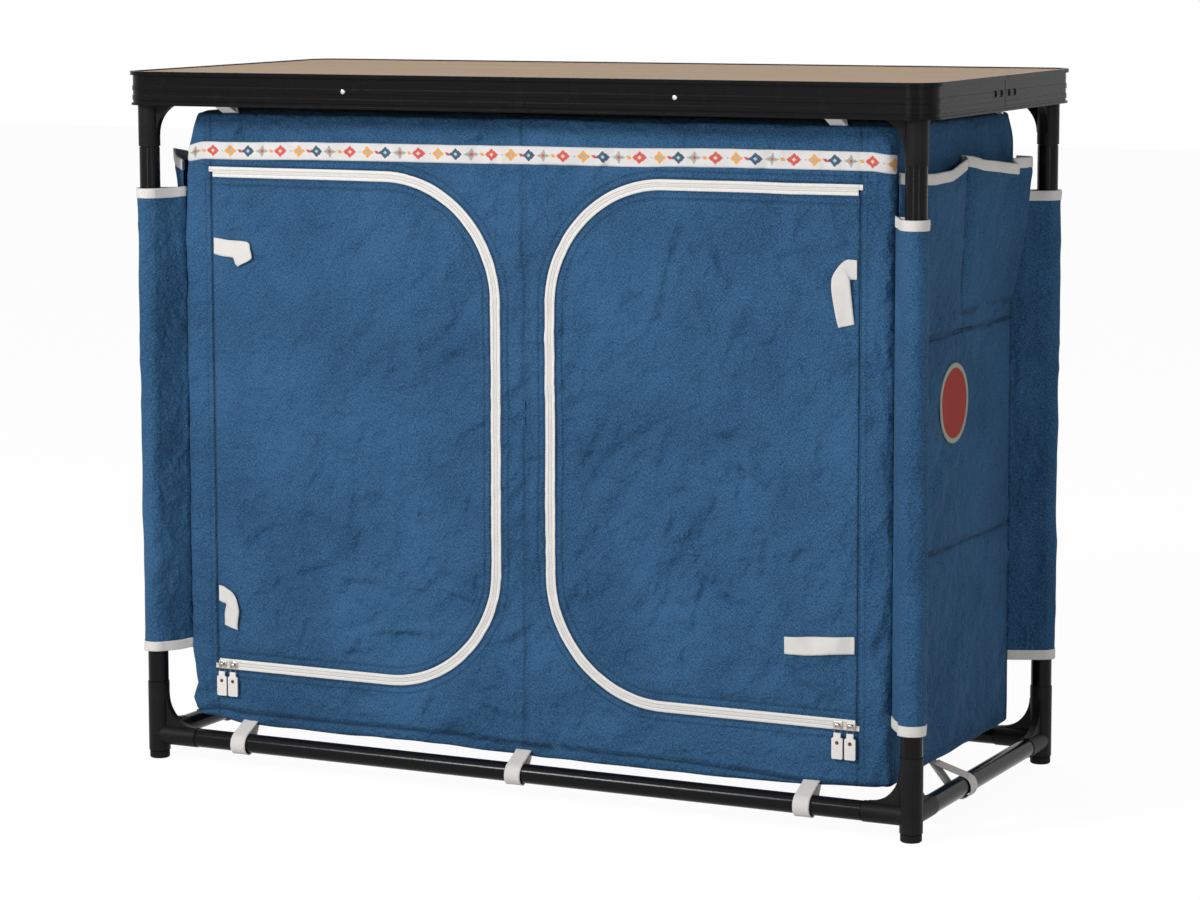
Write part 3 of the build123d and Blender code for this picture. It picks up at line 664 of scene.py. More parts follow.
FRONT_CREASES = [
    # places in millimetres across and up, depth, width
    ([(-283, 644), (-262, 632), (-243, 635)], 1.5, 3.0),
    ([(-239, 225), (-185, 224)], 1.3, 3.2),
    ([(-103, 223), (-56, 209)], 1.4, 3.2),
    ([(-203, 165), (-104, 169)], 1.2, 3.6),
    ([(117, 450), (86, 400), (56, 343)], 1.3, 4.4),
    ([(187, 446), (102, 385)], 1.3, 4.2),
    ([(226, 301), (173, 235)], 1.5, 3.6),
    ([(206, 289), (231, 250)], 1.3, 3.0),
    ([(235, 255), (257, 238), (281, 238)], 1.6, 2.6),
    ([(257, 394), (306, 360)], 1.5, 3.6),
    ([(306, 196), (350, 147)], 1.4, 3.2),
    ([(-27, 758), (-4, 737)], 1.3, 2.8),
    ([(-49, 757), (-30, 747)], 1.0, 2.6),
    ([(-390, 757), (-374, 743)], 1.0, 2.6),
    ([(-345, 756), (-315, 741)], 1.2, 3.0),
    ([(-306, 759), (-271, 739)], 1.2, 3.2),
    ([(420, 756), (424, 745), (434, 741)], 1.4, 2.6),
    ([(395, 701), (413, 706), (429, 692)], 1.7, 2.6),
    ([(145, 114), (167, 73)], 1.6, 3.4),
    ([(185, 76), (214, 57)], 1.4, 3.0),
    ([(224, 70), (244, 58)], 1.3, 2.6),
    ([(257, 80), (282, 68)], 1.4, 2.8),
    ([(331, 98), (345, 82), (350, 56)], 1.4, 3.0),
    ([(-66, 636), (-150, 560), (-262, 452)], 1.1, 8.0),
    ([(-44, 590), (-92, 520), (-170, 468)], 1.0, 6.0),
    ([(-62, 176), (-140, 262), (-236, 330)], 1.1, 8.0),
    ([(-150, 122), (-214, 196), (-300, 252)], 1.0, 7.0),
    ([(-396, 660), (-340, 590), (-312, 520)], 0.9, 7.0),
    ([(-330, 330), (-270, 240)], 1.1, 4.6),
    ([(64, 638), (130, 566), (212, 512)], 1.1, 8.0),
    ([(44, 250), (96, 300), (160, 400)], 1.0, 7.0),
    ([(72, 168), (150, 226), (210, 300), (262, 402)], 1.1, 7.0),
    ([(392, 150), (330, 230), (300, 320)], 0.9, 7.0),
    ([(300, 640), (352, 560), (392, 500)], 0.9, 7.0),
    ([(160, 690), (214, 622), (240, 560)], 0.9, 6.0),
    ([(-60, 96), (-12, 84), (30, 92)], 1.1, 3.0),
    ([(-300, 108), (-262, 88)], 1.2, 3.0),
    ([(-420, 300), (-412, 250), (-424, 200)], 1.0, 2.8),
    ([(14, 640), (-6, 596)], 1.0, 2.6),
    ([(-16, 470), (10, 430)], 1.1, 2.4),
    ([(8, 330), (-14, 286)], 1.1, 2.4),
    ([(424, 560), (432, 500)], 0.9, 2.6),
    ([(428, 150), (414, 96)], 1.1, 2.8),
]


STRAY_CREASES = [
    # seed, number, lowest and highest place, how far to the sides, shortest and longest, depth in millimetres, widths
    (5, 80, 0.06, 0.36, 0.44, (0.04, 0.13), 3.4),
    (6, 80, 0.33, 0.76, 0.44, (0.04, 0.15), 3.0),
    (8, 40, 0.10, 0.70, 0.03, (0.015, 0.04), 2.4, (0.0022, 0.0035)),
    (15, 90, 0.06, 0.34, 0.44, (0.015, 0.07), 3.2, (0.0023, 0.0040)),
    (16, 70, 0.34, 0.76, 0.44, (0.015, 0.07), 2.6, (0.0023, 0.0040)),
]
CREASE_DEPTH, CREASE_WIDTH = 3.5 * MM, 0.95 * MM
PULL_HEIGHT = 92 * MM
HIGHEST_FOLD = 8 * MM


def middle_seam(z):
    """Where the front's two halves are sewn together, between the doors."""
    return 0.0006 + 0.0006 * np.sin(z * 30)


def belly_seam(x):
    """Height of the seam between the front and the floor's cloth, which wraps up over the edge."""
    wrap = 12.5 * MM * (1 - smooth(x, 0.16, 0.44)) * smooth(x, -0.47, -0.38) + 1.0 * MM
    return WALL_LOW + 2 * MM + front_sag(x) + wrap


def zip_distance(x, z):
    """Distance from a door's zip, positive outside the door. The hinge seam counts as no zip."""
    x = np.abs(x)
    turn = np.maximum(np.hypot(DOOR_TURN - x, np.maximum(
        DOOR_LOW + DOOR_RADIUS - z, z - DOOR_TOP + DOOR_RADIUS)), 0) - DOOR_RADIUS
    bent = (x < DOOR_TURN) & ((z < DOOR_LOW + DOOR_RADIUS) | (z > DOOR_TOP - DOOR_RADIUS))
    upright = np.where(x < DOOR_TURN, DOOR_INNER - x, -1.0)
    level = np.maximum(DOOR_LOW - z, z - DOOR_TOP)
    return np.where(bent, turn, np.where(x < DOOR_TURN, np.maximum(upright, level), level))


def front_relief(x, z, scene):
    """How far the front's cloth stands out from its flat plane."""
    cloth = scene.cupboard_cloth
    height = cloth.drape * 0.70 * ripples(x, z, 0.21, 11)
    height += cloth.drape * 0.45 * ripples(0.8 * x + 0.6 * z, 0.8 * z - 0.6 * x, 0.085, 12)
    height += cloth.drape * 0.40 * ripples(0.75 * x + 0.66 * z, 0.2 * z - 0.2 * x, 0.034, 13)
    lower = 0.55 + 0.6 * smooth(-z, -0.34, -0.10)
    height += cloth.crumple * (lower * crumpled(x, z, 0.062, 21) + 0.55 * crumpled(x, z, 0.029, 25))
    lines = [(np.array(points) * MM, CREASE_DEPTH * depth, CREASE_WIDTH * width)
             for points, depth, width in FRONT_CREASES]
    for seed, number, low, high, ends, run, depth, *widths in STRAY_CREASES:
        lines += stray_creases(seed, number, (-ends, low), (ends, high), *run, depth * MM, *widths)
    height += creased(x, z, lines)
    # the zips hold the cloth flat and pucker it
    away = np.abs(zip_distance(x, z))
    puckers = 0.35 * MM * ripples(x + z, x - z, 0.009, 31) * line(away, 0.010)
    height = height * (0.30 + 0.70 * smooth(away, 0.003, 0.026)) + puckers - 0.45 * MM * line(away, 0.0055)
    along_zip = ((np.abs(x) < HINGE_X + 0.006) & (np.abs(x) > DOOR_TURN - 0.02)).astype(float)
    calm = 1 - along_zip * (1 - smooth(np.abs(z - DOOR_LOW), 0.006, 0.030))
    # it leaves room for the pull tabs, at rest and along the sliders' way
    pulls = smooth(np.abs(np.abs(x) - 0.390), 0.020, 0.045) + smooth(np.abs(z - PULL_HEIGHT), 0.026, 0.050)
    height = height * calm * np.clip(pulls, 0.12, 1)
    way = smooth(np.abs(np.abs(x) - 0.285), 0.125, 0.145) + smooth(np.abs(z - PULL_HEIGHT), 0.028, 0.048)
    height = np.where(height > 0, height * np.clip(way, 0.08, 1), height)
    height = np.where(height > 0, HIGHEST_FOLD * np.tanh(height / HIGHEST_FOLD), height)
    # the doors' hinge seams, the middle seam and the lower seam are drawn in
    far = np.abs(np.abs(x) - HINGE_X)
    height = height * (0.06 + 0.94 * smooth(far, 0.005, 0.024)) - 0.9 * MM * line(far, 0.0020)
    height -= 1.0 * MM * line(x - middle_seam(z), 0.0016)
    edge = np.minimum(WALL_TOP - z, z - WALL_LOW + 9 * MM)
    height *= 0.15 + 0.85 * smooth(edge, 0.001, 0.022)
    height -= 1.5 * MM * line(z - belly_seam(x), 0.0020) * (np.abs(x) < FLAT_X + 0.01)
    return height * (1 - smooth(np.abs(x), FLAT_X - 0.002, SIDE_START))


def front_seam_shade(x, z):
    """How much painted shade darkens the front's cloth along its stitched rows, seams and folded edges."""
    away = zip_distance(x, z)
    beside_zip = (np.abs(x) < HINGE_X + 0.004).astype(float)
    shade = 0.62 * beside_zip * line(np.abs(away) - 0.0072, 0.0013)
    shade += 0.34 * beside_zip * line(np.abs(away) - 0.0150, 0.0013)
    far = np.abs(x) - HINGE_X
    shade += 0.50 * line(far - 0.0002, 0.0014) + 0.32 * line(far - 0.0080, 0.0013)
    shade += 0.55 * line(x - middle_seam(z), 0.0015) + 0.25 * line(x - 0.0070, 0.0013)
    shade += 0.85 * line(z - belly_seam(x), 0.0016) + 0.35 * line(z - belly_seam(x) - 0.0042, 0.0012)
    return np.clip(shade, 0, 0.9)


def shelf_seam(u, level):
    """Height of the seam that holds a shelf, a little wavy."""
    return level + 0.0012 * np.sin(u * 41)


def side_seam_shade(u, z):
    """How much painted shade darkens the sides and the back along the shelves' seams and at the lower edge."""
    shade = 0.35 * line(z - WALL_LOW - 0.012, 0.0016)
    for level in SHELF_HEIGHTS:
        above = z - shelf_seam(u, level)
        shade = shade + 0.80 * line(above, 0.0019) + 0.35 * line(above - 0.0050, 0.0014)
    return np.clip(shade, 0, 0.9)


def wall_place(u):
    """A place round the walls, and the way out of the wall there. u is 0 in the middle of the front."""
    sign = np.where(u < -1e-9, -1.0, 1.0)
    u = np.abs(u)
    first, second, third = ((u - start) / WALL_ROUND for start in (FLAT_X, SIDE_END, BACK_END))
    cases = [u < end for end in (FLAT_X, SIDE_START, SIDE_END, BACK_START, BACK_END)]
    x = np.select(cases, [u, FLAT_X + WALL_ROUND * np.sin(first), WALL_X + 0 * u,
                          FLAT_X + WALL_ROUND * np.cos(second), FLAT_X - (u - BACK_START)],
                  -FLAT_X - WALL_ROUND * np.sin(third))
    y = np.select(cases, [-WALL_Y + 0 * u, -FLAT_Y - WALL_ROUND * np.cos(first), -FLAT_Y + (u - SIDE_START),
                          FLAT_Y + WALL_ROUND * np.sin(second), WALL_Y + 0 * u],
                  FLAT_Y + WALL_ROUND * np.cos(third))
    nx = np.select(cases, [0 * u, np.sin(first), 1 + 0 * u, np.cos(second), 0 * u], -np.sin(third))
    ny = np.select(cases, [-1 + 0 * u, -np.cos(first), 0 * u, np.sin(second), 1 + 0 * u], np.cos(third))
    return sign * x, y, sign * nx, ny


def side_relief(u, z, scene, seed):
    """How far a side's or the back's cloth stands out."""
    cloth = scene.cupboard_cloth
    height = cloth.drape * (0.9 * ripples(u, z, 0.17, seed) + 0.5 * ripples(u + 0.4 * z, z - 0.4 * u, 0.07, seed + 1))
    height += cloth.crumple * (0.9 * crumpled(u, z, 0.070, seed + 2) + 0.5 * crumpled(u, z, 0.031, seed + 5))
    low, high = (float(u.min()), 0.06), (float(u.max()), 0.75)
    lines = stray_creases(seed + 20, int(150 * np.ptp(u) + 8), low, high, 0.04, 0.16, 3.4 * MM)
    lines += stray_creases(seed + 21, int(90 * np.ptp(u) + 8), low, high, 0.02, 0.07, 2.0 * MM, (0.0024, 0.0040))
    height += creased(u, z, lines)
    low = 1 - smooth(z, 0.12, 0.30)
    height += 2.2 * MM * low * ripples(u + 0.18 * (z - 0.05) * np.sign(np.sin(u * 9)), z * 0.12, 0.026, seed + 8)
    high = smooth(z, 0.70, 0.755)
    height += 1.2 * MM * high * ripples(u, z * 0.2, 0.022, seed + 9)
    for level in SHELF_HEIGHTS:
        height *= 0.45 + 0.55 * smooth(np.abs(z - level), 0.002, 0.022)
        height -= 1.9 * MM * line(z - shelf_seam(u, level), 0.0030)
        height += 1.2 * MM * line(z - level - 0.009, 0.005)
    return height


def edge_curl(z, low, top):
    """How far the cloth turns inwards as it rounds the lower and upper edge."""
    bend = np.clip(1 - np.minimum(top - z, z - low) / EDGE_ROUND, 0, 1)
    return -EDGE_ROUND * (1 - np.sqrt(np.clip(1 - bend * bend, 0, 1)))


def low_edge(u):
    """Height of the walls' lower edge, which sags below the front."""
    x = np.clip(u, -FLAT_X, FLAT_X)
    sag = front_sag(x) * (1 - smooth(np.abs(u), FLAT_X, SIDE_START + 0.05))
    return WALL_LOW + 2 * MM + sag + 0.0008 * ripples(u, u, 0.05, 71)


def front_sag(x):
    """How far the front's lower edge is above or below the other walls' edge."""
    spots = [-443, -400, -377, -250, -136, -28, 100, 217, 340, 425, 443]
    return np.interp(x / MM, spots, [1, -3, -7, -7.5, -6, -8.5, -9.5, -9.5, -7.5, -3, 0.5]) * MM


def top_edge(u):
    """Height of the walls' upper seam."""
    return WALL_TOP - 0.0012 + 0.0009 * ripples(u, 0 * u, 0.11, 72)


def sit(*objects):
    """Selects pieces, the last of them active."""
    bpy.ops.object.select_all(action="DESELECT")
    for piece in objects:
        piece.select_set(True)
    bpy.context.view_layer.objects.active = objects[-1]


def woven(name, grid, places, finish, skip=None, closed=False, seam=None):
    """A cloth surface over a grid of points, its UV map in metres along and across the cloth."""
    columns, rows = grid.shape[:2]
    wraps = columns if closed else columns - 1
    column, row = np.meshgrid(np.arange(wraps), np.arange(rows - 1), indexing="ij")
    column, row = column.ravel(), row.ravel()
    if skip is not None:
        keep = ~skip.ravel()
        column, row = column[keep], row[keep]
    after = (column + 1) % columns
    quads = np.stack([column * rows + row, after * rows + row, after * rows + row + 1, column * rows + row + 1], 1)
    used, inverse = np.unique(quads, return_inverse=True)
    quads = inverse.reshape(-1, 4)
    mesh = bpy.data.meshes.new(name)
    mesh.from_pydata(grid.reshape(-1, 3)[used].tolist(), [], quads.tolist())
    layer = mesh.uv_layers.new(name="cloth")
    corners = places.reshape(-1, 2)[used][quads.ravel()]
    if closed:
        length = places[1, 0, 0] - places[0, 0, 0]
        wrapped = np.repeat(column == columns - 1, 4) & np.tile([False, True, True, False], len(column))
        corners = corners.copy()
        corners[wrapped, 0] = places[-1, 0, 0] + length
    layer.data.foreach_set("uv", corners.astype(np.float32).ravel())
    # the seam values become an attribute that paints shade into the cloth's colour along its seams
    if seam is not None:
        shade = mesh.attributes.new("seam", "FLOAT", "POINT")
        shade.data.foreach_set("value", seam.ravel()[used].astype(np.float32))
    mesh.polygons.foreach_set("use_smooth", np.ones(len(mesh.polygons), bool))
    mesh.materials.append(finish)
    piece = bpy.data.objects.new(name, mesh)
    bpy.context.scene.collection.objects.link(piece)
    return piece


def modified(piece, kind, **settings):
    """Adds a modifier to a piece and applies it."""
    sit(piece)
    modifier = piece.modifiers.new("step", kind)
    for name, value in settings.items():
        setattr(modifier, name, value)
    bpy.ops.object.modifier_apply(modifier=modifier.name)
    return piece


def thicken(piece, thickness, offset=-1.0):
    """Gives a cloth surface its thickness, inwards unless told otherwise."""
    return modified(piece, "SOLIDIFY", thickness=thickness, offset=offset, use_rim=True, use_even_offset=False)


def worked(piece, **steps):
    """Works on the whole of a piece in edit mode, step by step."""
    sit(piece)
    bpy.ops.object.mode_set(mode="EDIT")
    bpy.ops.mesh.select_all(action="SELECT")
    for step, options in steps.items():
        getattr(bpy.ops.mesh, step)(**options)
    bpy.ops.object.mode_set(mode="OBJECT")
    return piece


def added(primitive, **options):
    """A new primitive, selected alone."""
    bpy.ops.object.select_all(action="DESELECT")
    primitive(**options)
    return bpy.context.active_object


def fixed(piece, scale=None):
    """Applies a piece's place, turn and size."""
    piece.scale = scale or piece.scale
    sit(piece)
    bpy.ops.object.transform_apply(location=True, rotation=True, scale=True)
    return piece


def painted(piece, finish):
    """Gives a piece one finish."""
    piece.data.materials.clear()
    piece.data.materials.append(finish)
    return piece


def flat_places(along, across):
    """Places in flat cloth, from those along it and across it."""
    return np.stack(np.broadcast_arrays(along[:, None], across[None, :]), 2)


def travelled(points):
    """Distance along a line of points, at each of them."""
    return np.concatenate([[0], np.cumsum(np.linalg.norm(np.diff(points, axis=0), axis=1))])


def joined(name, pieces):
    """One piece made of several."""
    sit(*pieces)
    if len(pieces) > 1:
        bpy.ops.object.join()
    whole = bpy.context.view_layer.objects.active
    whole.name = name
    whole.data.name = name
    return whole


def settled(piece, angle=40):
    """Applies a piece's place, turn and size, and smooths its rounded faces."""
    fixed(piece)
    bpy.ops.object.shade_smooth_by_angle(angle=radians(angle))
    return piece


def drawn_in(x, y, z):
    """Moves points of the walls at the corners that hang in: the front left one and the upper rear right one."""
    front_left = (1 - smooth(x, -WALL_X - 2 * MM, -0.408)) * (1 - smooth(y, -WALL_Y, -0.08))
    heights = [45, 57, 71, 80, 90, 105, 128, 640, 690, 723, 745, 765]
    pull = np.interp(z / MM, heights, [8, 7, 1, 4, 8, 4, 0, 0, 2, 6, 12, 19]) * MM
    rear_right = smooth(x, 0.38, WALL_X) * smooth(y, 0.09, WALL_Y)
    return x + front_left * pull, y - 20 * MM * rear_right * smooth(z, 0.722, 0.768) ** 1.5


def wall_grid(u, heights, out):
    """Points of a wall from places round it, heights and how far each stands out."""
    x, y, nx, ny = wall_place(u)
    x, y = drawn_in(x + nx * out, y + ny * out, heights)
    return np.stack([x, y, heights], 2), np.stack([u, heights], 2)


def wall(name, u, heights, out, seams, thickness, skip=None):
    """A wall's cloth, with painted shade along its seams."""
    grid, places = wall_grid(u, heights, out)
    return thicken(woven(name, grid, places, finishes["blue_fabric"], skip, seam=seams), thickness)


def between(low, high, count):
    """Heights from low to high, for each column."""
    return low[:, None] + (high - low)[:, None] * np.linspace(0, 1, count)


def wall_heights(u, bottom, top, *levels):
    """Heights of a wall's cloth for each column, closer together as it turns over its edges."""
    curl = EDGE_ROUND * (1 - np.cos(np.linspace(0, pi / 2, 5)))
    parts = [bottom[:, None] + curl]
    low = bottom + EDGE_ROUND
    for high, count in levels:
        parts.append(between(low, high, count)[:, 1:])
        low = high
    heights = np.concatenate([*parts, top[:, None] - curl[None, -2::-1]], 1)
    return np.repeat(u[:, None], heights.shape[1], 1), heights


def plain_wall(columns, bottom, count):
    """Places and heights of a wall without openings, and how far each is from its lower and upper edge."""
    top = top_edge(columns)
    u, heights = wall_heights(columns, bottom, top, (top - EDGE_ROUND, count))
    held = 0.1 + 0.9 * smooth(np.minimum(top[:, None] - heights, heights - bottom[:, None]), 0.0, 0.02)
    return u, heights, held, edge_curl(heights, bottom[:, None], top[:, None])


def outline_heights(x, wider):
    """Lowest and highest point of a door's outline, moved outwards by wider."""
    radius = DOOR_RADIUS + wider
    away = np.clip(DOOR_TURN - np.abs(x), 0, radius)
    rise = radius - np.sqrt(radius ** 2 - away ** 2)
    return DOOR_LOW - wider + rise, DOOR_TOP + wider - rise


def zip_to_hinge(inner, step):
    """Places from a door's inner edge to its hinge seam, closer together where the outline turns upright."""
    turn = np.linspace(0, pi / 2, int(DOOR_RADIUS * 1.57 / step))
    bend = DOOR_TURN - (DOOR_TURN - inner) * np.cos(turn)
    straight = np.linspace(DOOR_TURN, HINGE_X, int((HINGE_X - DOOR_TURN) / step))
    return np.concatenate([bend, straight[1:]])


def front_columns(step):
    """Places across the front and round its corners."""
    inner = DOOR_INNER - CUT
    middle = np.linspace(0, inner, 11)[:-1]
    over_door = zip_to_hinge(inner, step)
    outside = np.linspace(HINGE_X, FLAT_X, 10)[1:]
    corner = FLAT_X + CORNER_RUN * np.linspace(0, 1, 7)[1:]
    right = np.concatenate([middle, over_door, outside, corner])
    return np.concatenate([-right[:0:-1], right])


def cloth_piece(piece, body):
    """Gives a finished piece its body."""
    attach(piece, body)
    return piece


def stitched(name, rows, body):
    """Rows of small stitches. Each row is a list of points and the way out of the cloth at each."""
    spacing, length, girth, out = 3.6 * MM, 2.2 * MM, 0.52 * MM, 0.3 * MM
    verts, faces = [], []
    for points, outs in rows:
        runs = travelled(points)
        for start in np.arange(spacing / 2, runs[-1] - length, spacing):
            ends = np.array([[np.interp(at, runs, points[:, k]) for k in range(3)]
                             for at in (start, start + length / 2, start + length)])
            way = np.array([np.interp(start, runs, outs[:, k]) for k in range(3)])
            across = np.cross(ends[2] - ends[0], way)
            across = across / max(np.linalg.norm(across), 1e-9) * girth
            first = len(verts)
            rise = way * out
            verts += [ends[0] - rise, ends[1] - across, ends[1] + rise + way * girth, ends[1] + across,
                      ends[2] - rise]
            faces += [(first, first + 1, first + 2), (first, first + 2, first + 3),
                      (first + 4, first + 2, first + 1), (first + 4, first + 3, first + 2)]
    mesh = bpy.data.meshes.new(name)
    mesh.from_pydata([tuple(v) for v in verts], [], faces)
    mesh.materials.append(finishes["thread"])
    piece = bpy.data.objects.new(name, mesh)
    bpy.context.scene.collection.objects.link(piece)
    worked(piece, normals_make_consistent={"inside": False})
    return cloth_piece(piece, body)


def wall_row(us, zs, out):
    """A seam's points on a wall, with the way out of it."""
    x, y, nx, ny = wall_place(us)
    x, y = drawn_in(x + nx * out, y + ny * out, zs)
    return np.stack([x, y, zs], 1), np.stack([nx, ny, 0 * nx], 1)


def side_row(sign, rise, y, z):
    """A seam's points in front of a flat side, with the way out of it."""
    y, z = np.broadcast_arrays(y, z)
    return np.stack([0 * y + sign * (WALL_X + rise), y, z], 1), np.stack([sign + 0 * y, 0 * y, 0 * y], 1)


def zip_line(side, travel, off):
    """Points along a door's zip from the lower hinge end, moved outwards by off. Returns places and the way out."""
    arc = pi / 2 * DOOR_RADIUS
    ends = np.cumsum([ZIP_FLAT, arc, ZIP_UPRIGHT, arc])
    low, high = DOOR_LOW + DOOR_RADIUS, DOOR_TOP - DOOR_RADIUS
    t = travel
    one, two = (t - ends[0]) / DOOR_RADIUS, (t - ends[2]) / DOOR_RADIUS
    cases = [t < end for end in ends]
    x = np.select(cases, [DOOR_TURN + ZIP_FLAT - t, DOOR_TURN - DOOR_RADIUS * np.sin(one), DOOR_INNER + 0 * t,
                          DOOR_TURN - DOOR_RADIUS * np.cos(two)], DOOR_TURN + (t - ends[3]))
    z = np.select(cases, [DOOR_LOW + 0 * t, low - DOOR_RADIUS * np.cos(one), low + (t - ends[1]),
                          high + DOOR_RADIUS * np.sin(two)], DOOR_TOP + 0 * t)
    nx = np.select(cases, [0 * t, -np.sin(one), -1 + 0 * t, -np.cos(two)], 0 * t)
    nz = np.select(cases, [-1 + 0 * t, -np.cos(one), 0 * t, np.sin(two)], 1 + 0 * t)
    return side * (x + nx * off), z + nz * off


# Operators


class CUPBOARD_OT_finish_frame(bpy.types.Operator):
    """Give the frame, the worktop and its fittings their finishes"""

    bl_idname = "cupboard.finish_frame"
    bl_label = "Finish the frame and worktop"

    def execute(self, context):
        make_finishes(context.scene)
        slots = {part["node"]: part["material_slot"] for part in frame["record"]["subparts"]}
        for name, node in frame["nodes"].items():
            finish = finishes[slots[name]]
            for place in node.material_slots:
                place.material = finish
            if not node.material_slots:
                node.data.materials.append(finish)
        return {"FINISHED"}


class CUPBOARD_OT_add_walls(bpy.types.Operator):
    """Add the front, sides, back, top and floor of the cupboard"""

    bl_idname = "cupboard.add_walls"
    bl_label = "Add the cloth walls"

    def execute(self, context):
        scene = context.scene
        thick = scene.cupboard_cloth.thickness
        below, beside, above = 42, 176, 38

        columns = front_columns(2.6 * MM)
        bottom, top = low_edge(columns), top_edge(columns)
        low, high = outline_heights(columns, CUT)
        u, heights = wall_heights(columns, bottom, top, (low, below), (high, beside), (top - EDGE_ROUND, above))
        out = front_relief(u, heights, scene) + edge_curl(heights, bottom[:, None], top[:, None])
        middle = np.abs((columns[1:] + columns[:-1]) / 2)
        over_door = (middle > DOOR_INNER - CUT) & (middle < HINGE_X)
        skip = np.zeros((len(columns) - 1, heights.shape[1] - 1), bool)
        skip[over_door, below + 3:below + beside + 2] = True
        # painted shade along the front's seams, zips and stitched rows
        seams = front_seam_shade(np.clip(u, -SIDE_START, SIDE_START), heights)
        front = wall("cupboard_front", u, heights, out, seams, thick, skip)
        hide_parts("front_panel")
        cloth_piece(front, "root")

        for (name, sign), seed in zip(SIDES, (210, 240)):
            columns = np.linspace(SIDE_START, SIDE_END, 120)
            columns = columns if sign > 0 else -columns[::-1]
            u, heights, held, curl = plain_wall(columns, low_edge(columns), 210)
            seam = np.minimum(np.abs(u) - SIDE_START, SIDE_END - np.abs(u))
            out = side_relief(u, heights, scene, seed) * smooth(seam, 0.0, 0.020) * held
            if sign > 0:
                patch = np.hypot(np.abs(u) - 0.5 * (SIDE_START + SIDE_END) + 0.008, heights - 0.449)
                out = out * (0.10 + 0.90 * smooth(patch, 0.046, 0.066))
            out = out + curl - 1.0 * MM * line(seam, 0.0015)
            # painted shade along the shelves' seams and the lower edge
            side = wall("cupboard_side_" + name, u, heights, out, side_seam_shade(u, heights), thick)
            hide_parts("side_panel_" + name)
            cloth_piece(side, "root")

        last = BACK_END + CORNER_RUN
        columns = np.linspace(SIDE_END, last, 215)
        u, heights, held, curl = plain_wall(columns, low_edge(0 * columns + 1.0), 185)
        centre = (SIDE_END + last) / 2
        out = side_relief(u, heights, scene, 270) - 0.8 * MM * line(u - centre, 0.0018)
        out = out * smooth(np.minimum(u - SIDE_END, last - u), 0.0, 0.030) * held + curl
        # painted shade along the shelves' seams, the lower edge and the back's middle seam
        seams = np.clip(side_seam_shade(u, heights) + 0.6 * line(u - centre, 0.0018), 0, 0.9)
        back = wall("cupboard_back", u, heights, out, seams, thick)
        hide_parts("back_panel")
        cloth_piece(back, "root")

        half_wide, half_deep, inset, corner = WALL_X - 3.6 * MM, WALL_Y - 3.6 * MM, 4 * MM, WALL_ROUND - 0.4 * MM
        for name, sign in (("top", 1), ("floor", -1)):
            a, b = np.meshgrid(np.linspace(-1, 1, 150), np.linspace(-1, 1, 70), indexing="ij")
            x, y = a * half_wide, b * half_deep
            rim = np.minimum(half_wide - np.abs(x), half_deep - np.abs(y))
            past_x, past_y = np.abs(x) - FLAT_X + inset, np.abs(y) - FLAT_Y + inset
            rounding = np.clip(np.hypot(np.maximum(past_x, 0), np.maximum(past_y, 0)) / corner, 1, 2)
            x = np.where(rounding > 1, np.sign(x) * (FLAT_X - inset + past_x / rounding), x)
            y = np.where(rounding > 1, np.sign(y) * (FLAT_Y - inset + past_y / rounding), y)
            swell = smooth(rim, 0.0, 0.014)
            if sign > 0:
                z = WALL_TOP - 1.6 * MM + 3.2 * MM * swell + 1.3 * MM * swell * ripples(x, y, 0.09, 91)
            else:
                sag = 6.0 * MM * swell * (0.75 + 0.45 * ripples(x, y, 0.16, 92)) * (1 - 0.65 * smooth(x, 0.30, 0.43))
                z = WALL_LOW + 4.0 * MM + front_sag(x) * (1 - smooth(y, -WALL_Y, -0.09)) - sag
                z += 0.8 * MM * swell * crumpled(x, y, 0.05, 93)
            grid = np.stack([*drawn_in(x, y, z), z], 2)[::sign]
            places = np.stack([x, y], 2)[::sign]
            sheet = thicken(woven("cupboard_" + name, grid, places, finishes["blue_fabric"]), thick)
            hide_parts(name + "_panel")
            cloth_piece(sheet, "root")
        return {"FINISHED"}


class CUPBOARD_OT_add_doors(bpy.types.Operator):
    """Add the two zipped doors"""

    bl_idname = "cupboard.add_doors"
    bl_label = "Add the doors"

    def execute(self, context):
        scene = context.scene
        for name, sign in SIDES:
            half = zip_to_hinge(DOOR_INNER + CUT, 2.6 * MM)
            columns = half if sign > 0 else -half[::-1]
            heights = between(*outline_heights(np.maximum(np.abs(columns), DOOR_INNER + CUT), -CUT), 176)
            u = np.repeat(columns[:, None], heights.shape[1], 1)
            # with painted shade along the zip's stitched rows
            door = wall("door_cloth_" + name, u, heights, front_relief(u, heights, scene), front_seam_shade(u, heights),
                        scene.cupboard_cloth.thickness)
            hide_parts("door_" + name)
            cloth_piece(door, "door_" + name)
        return {"FINISHED"}


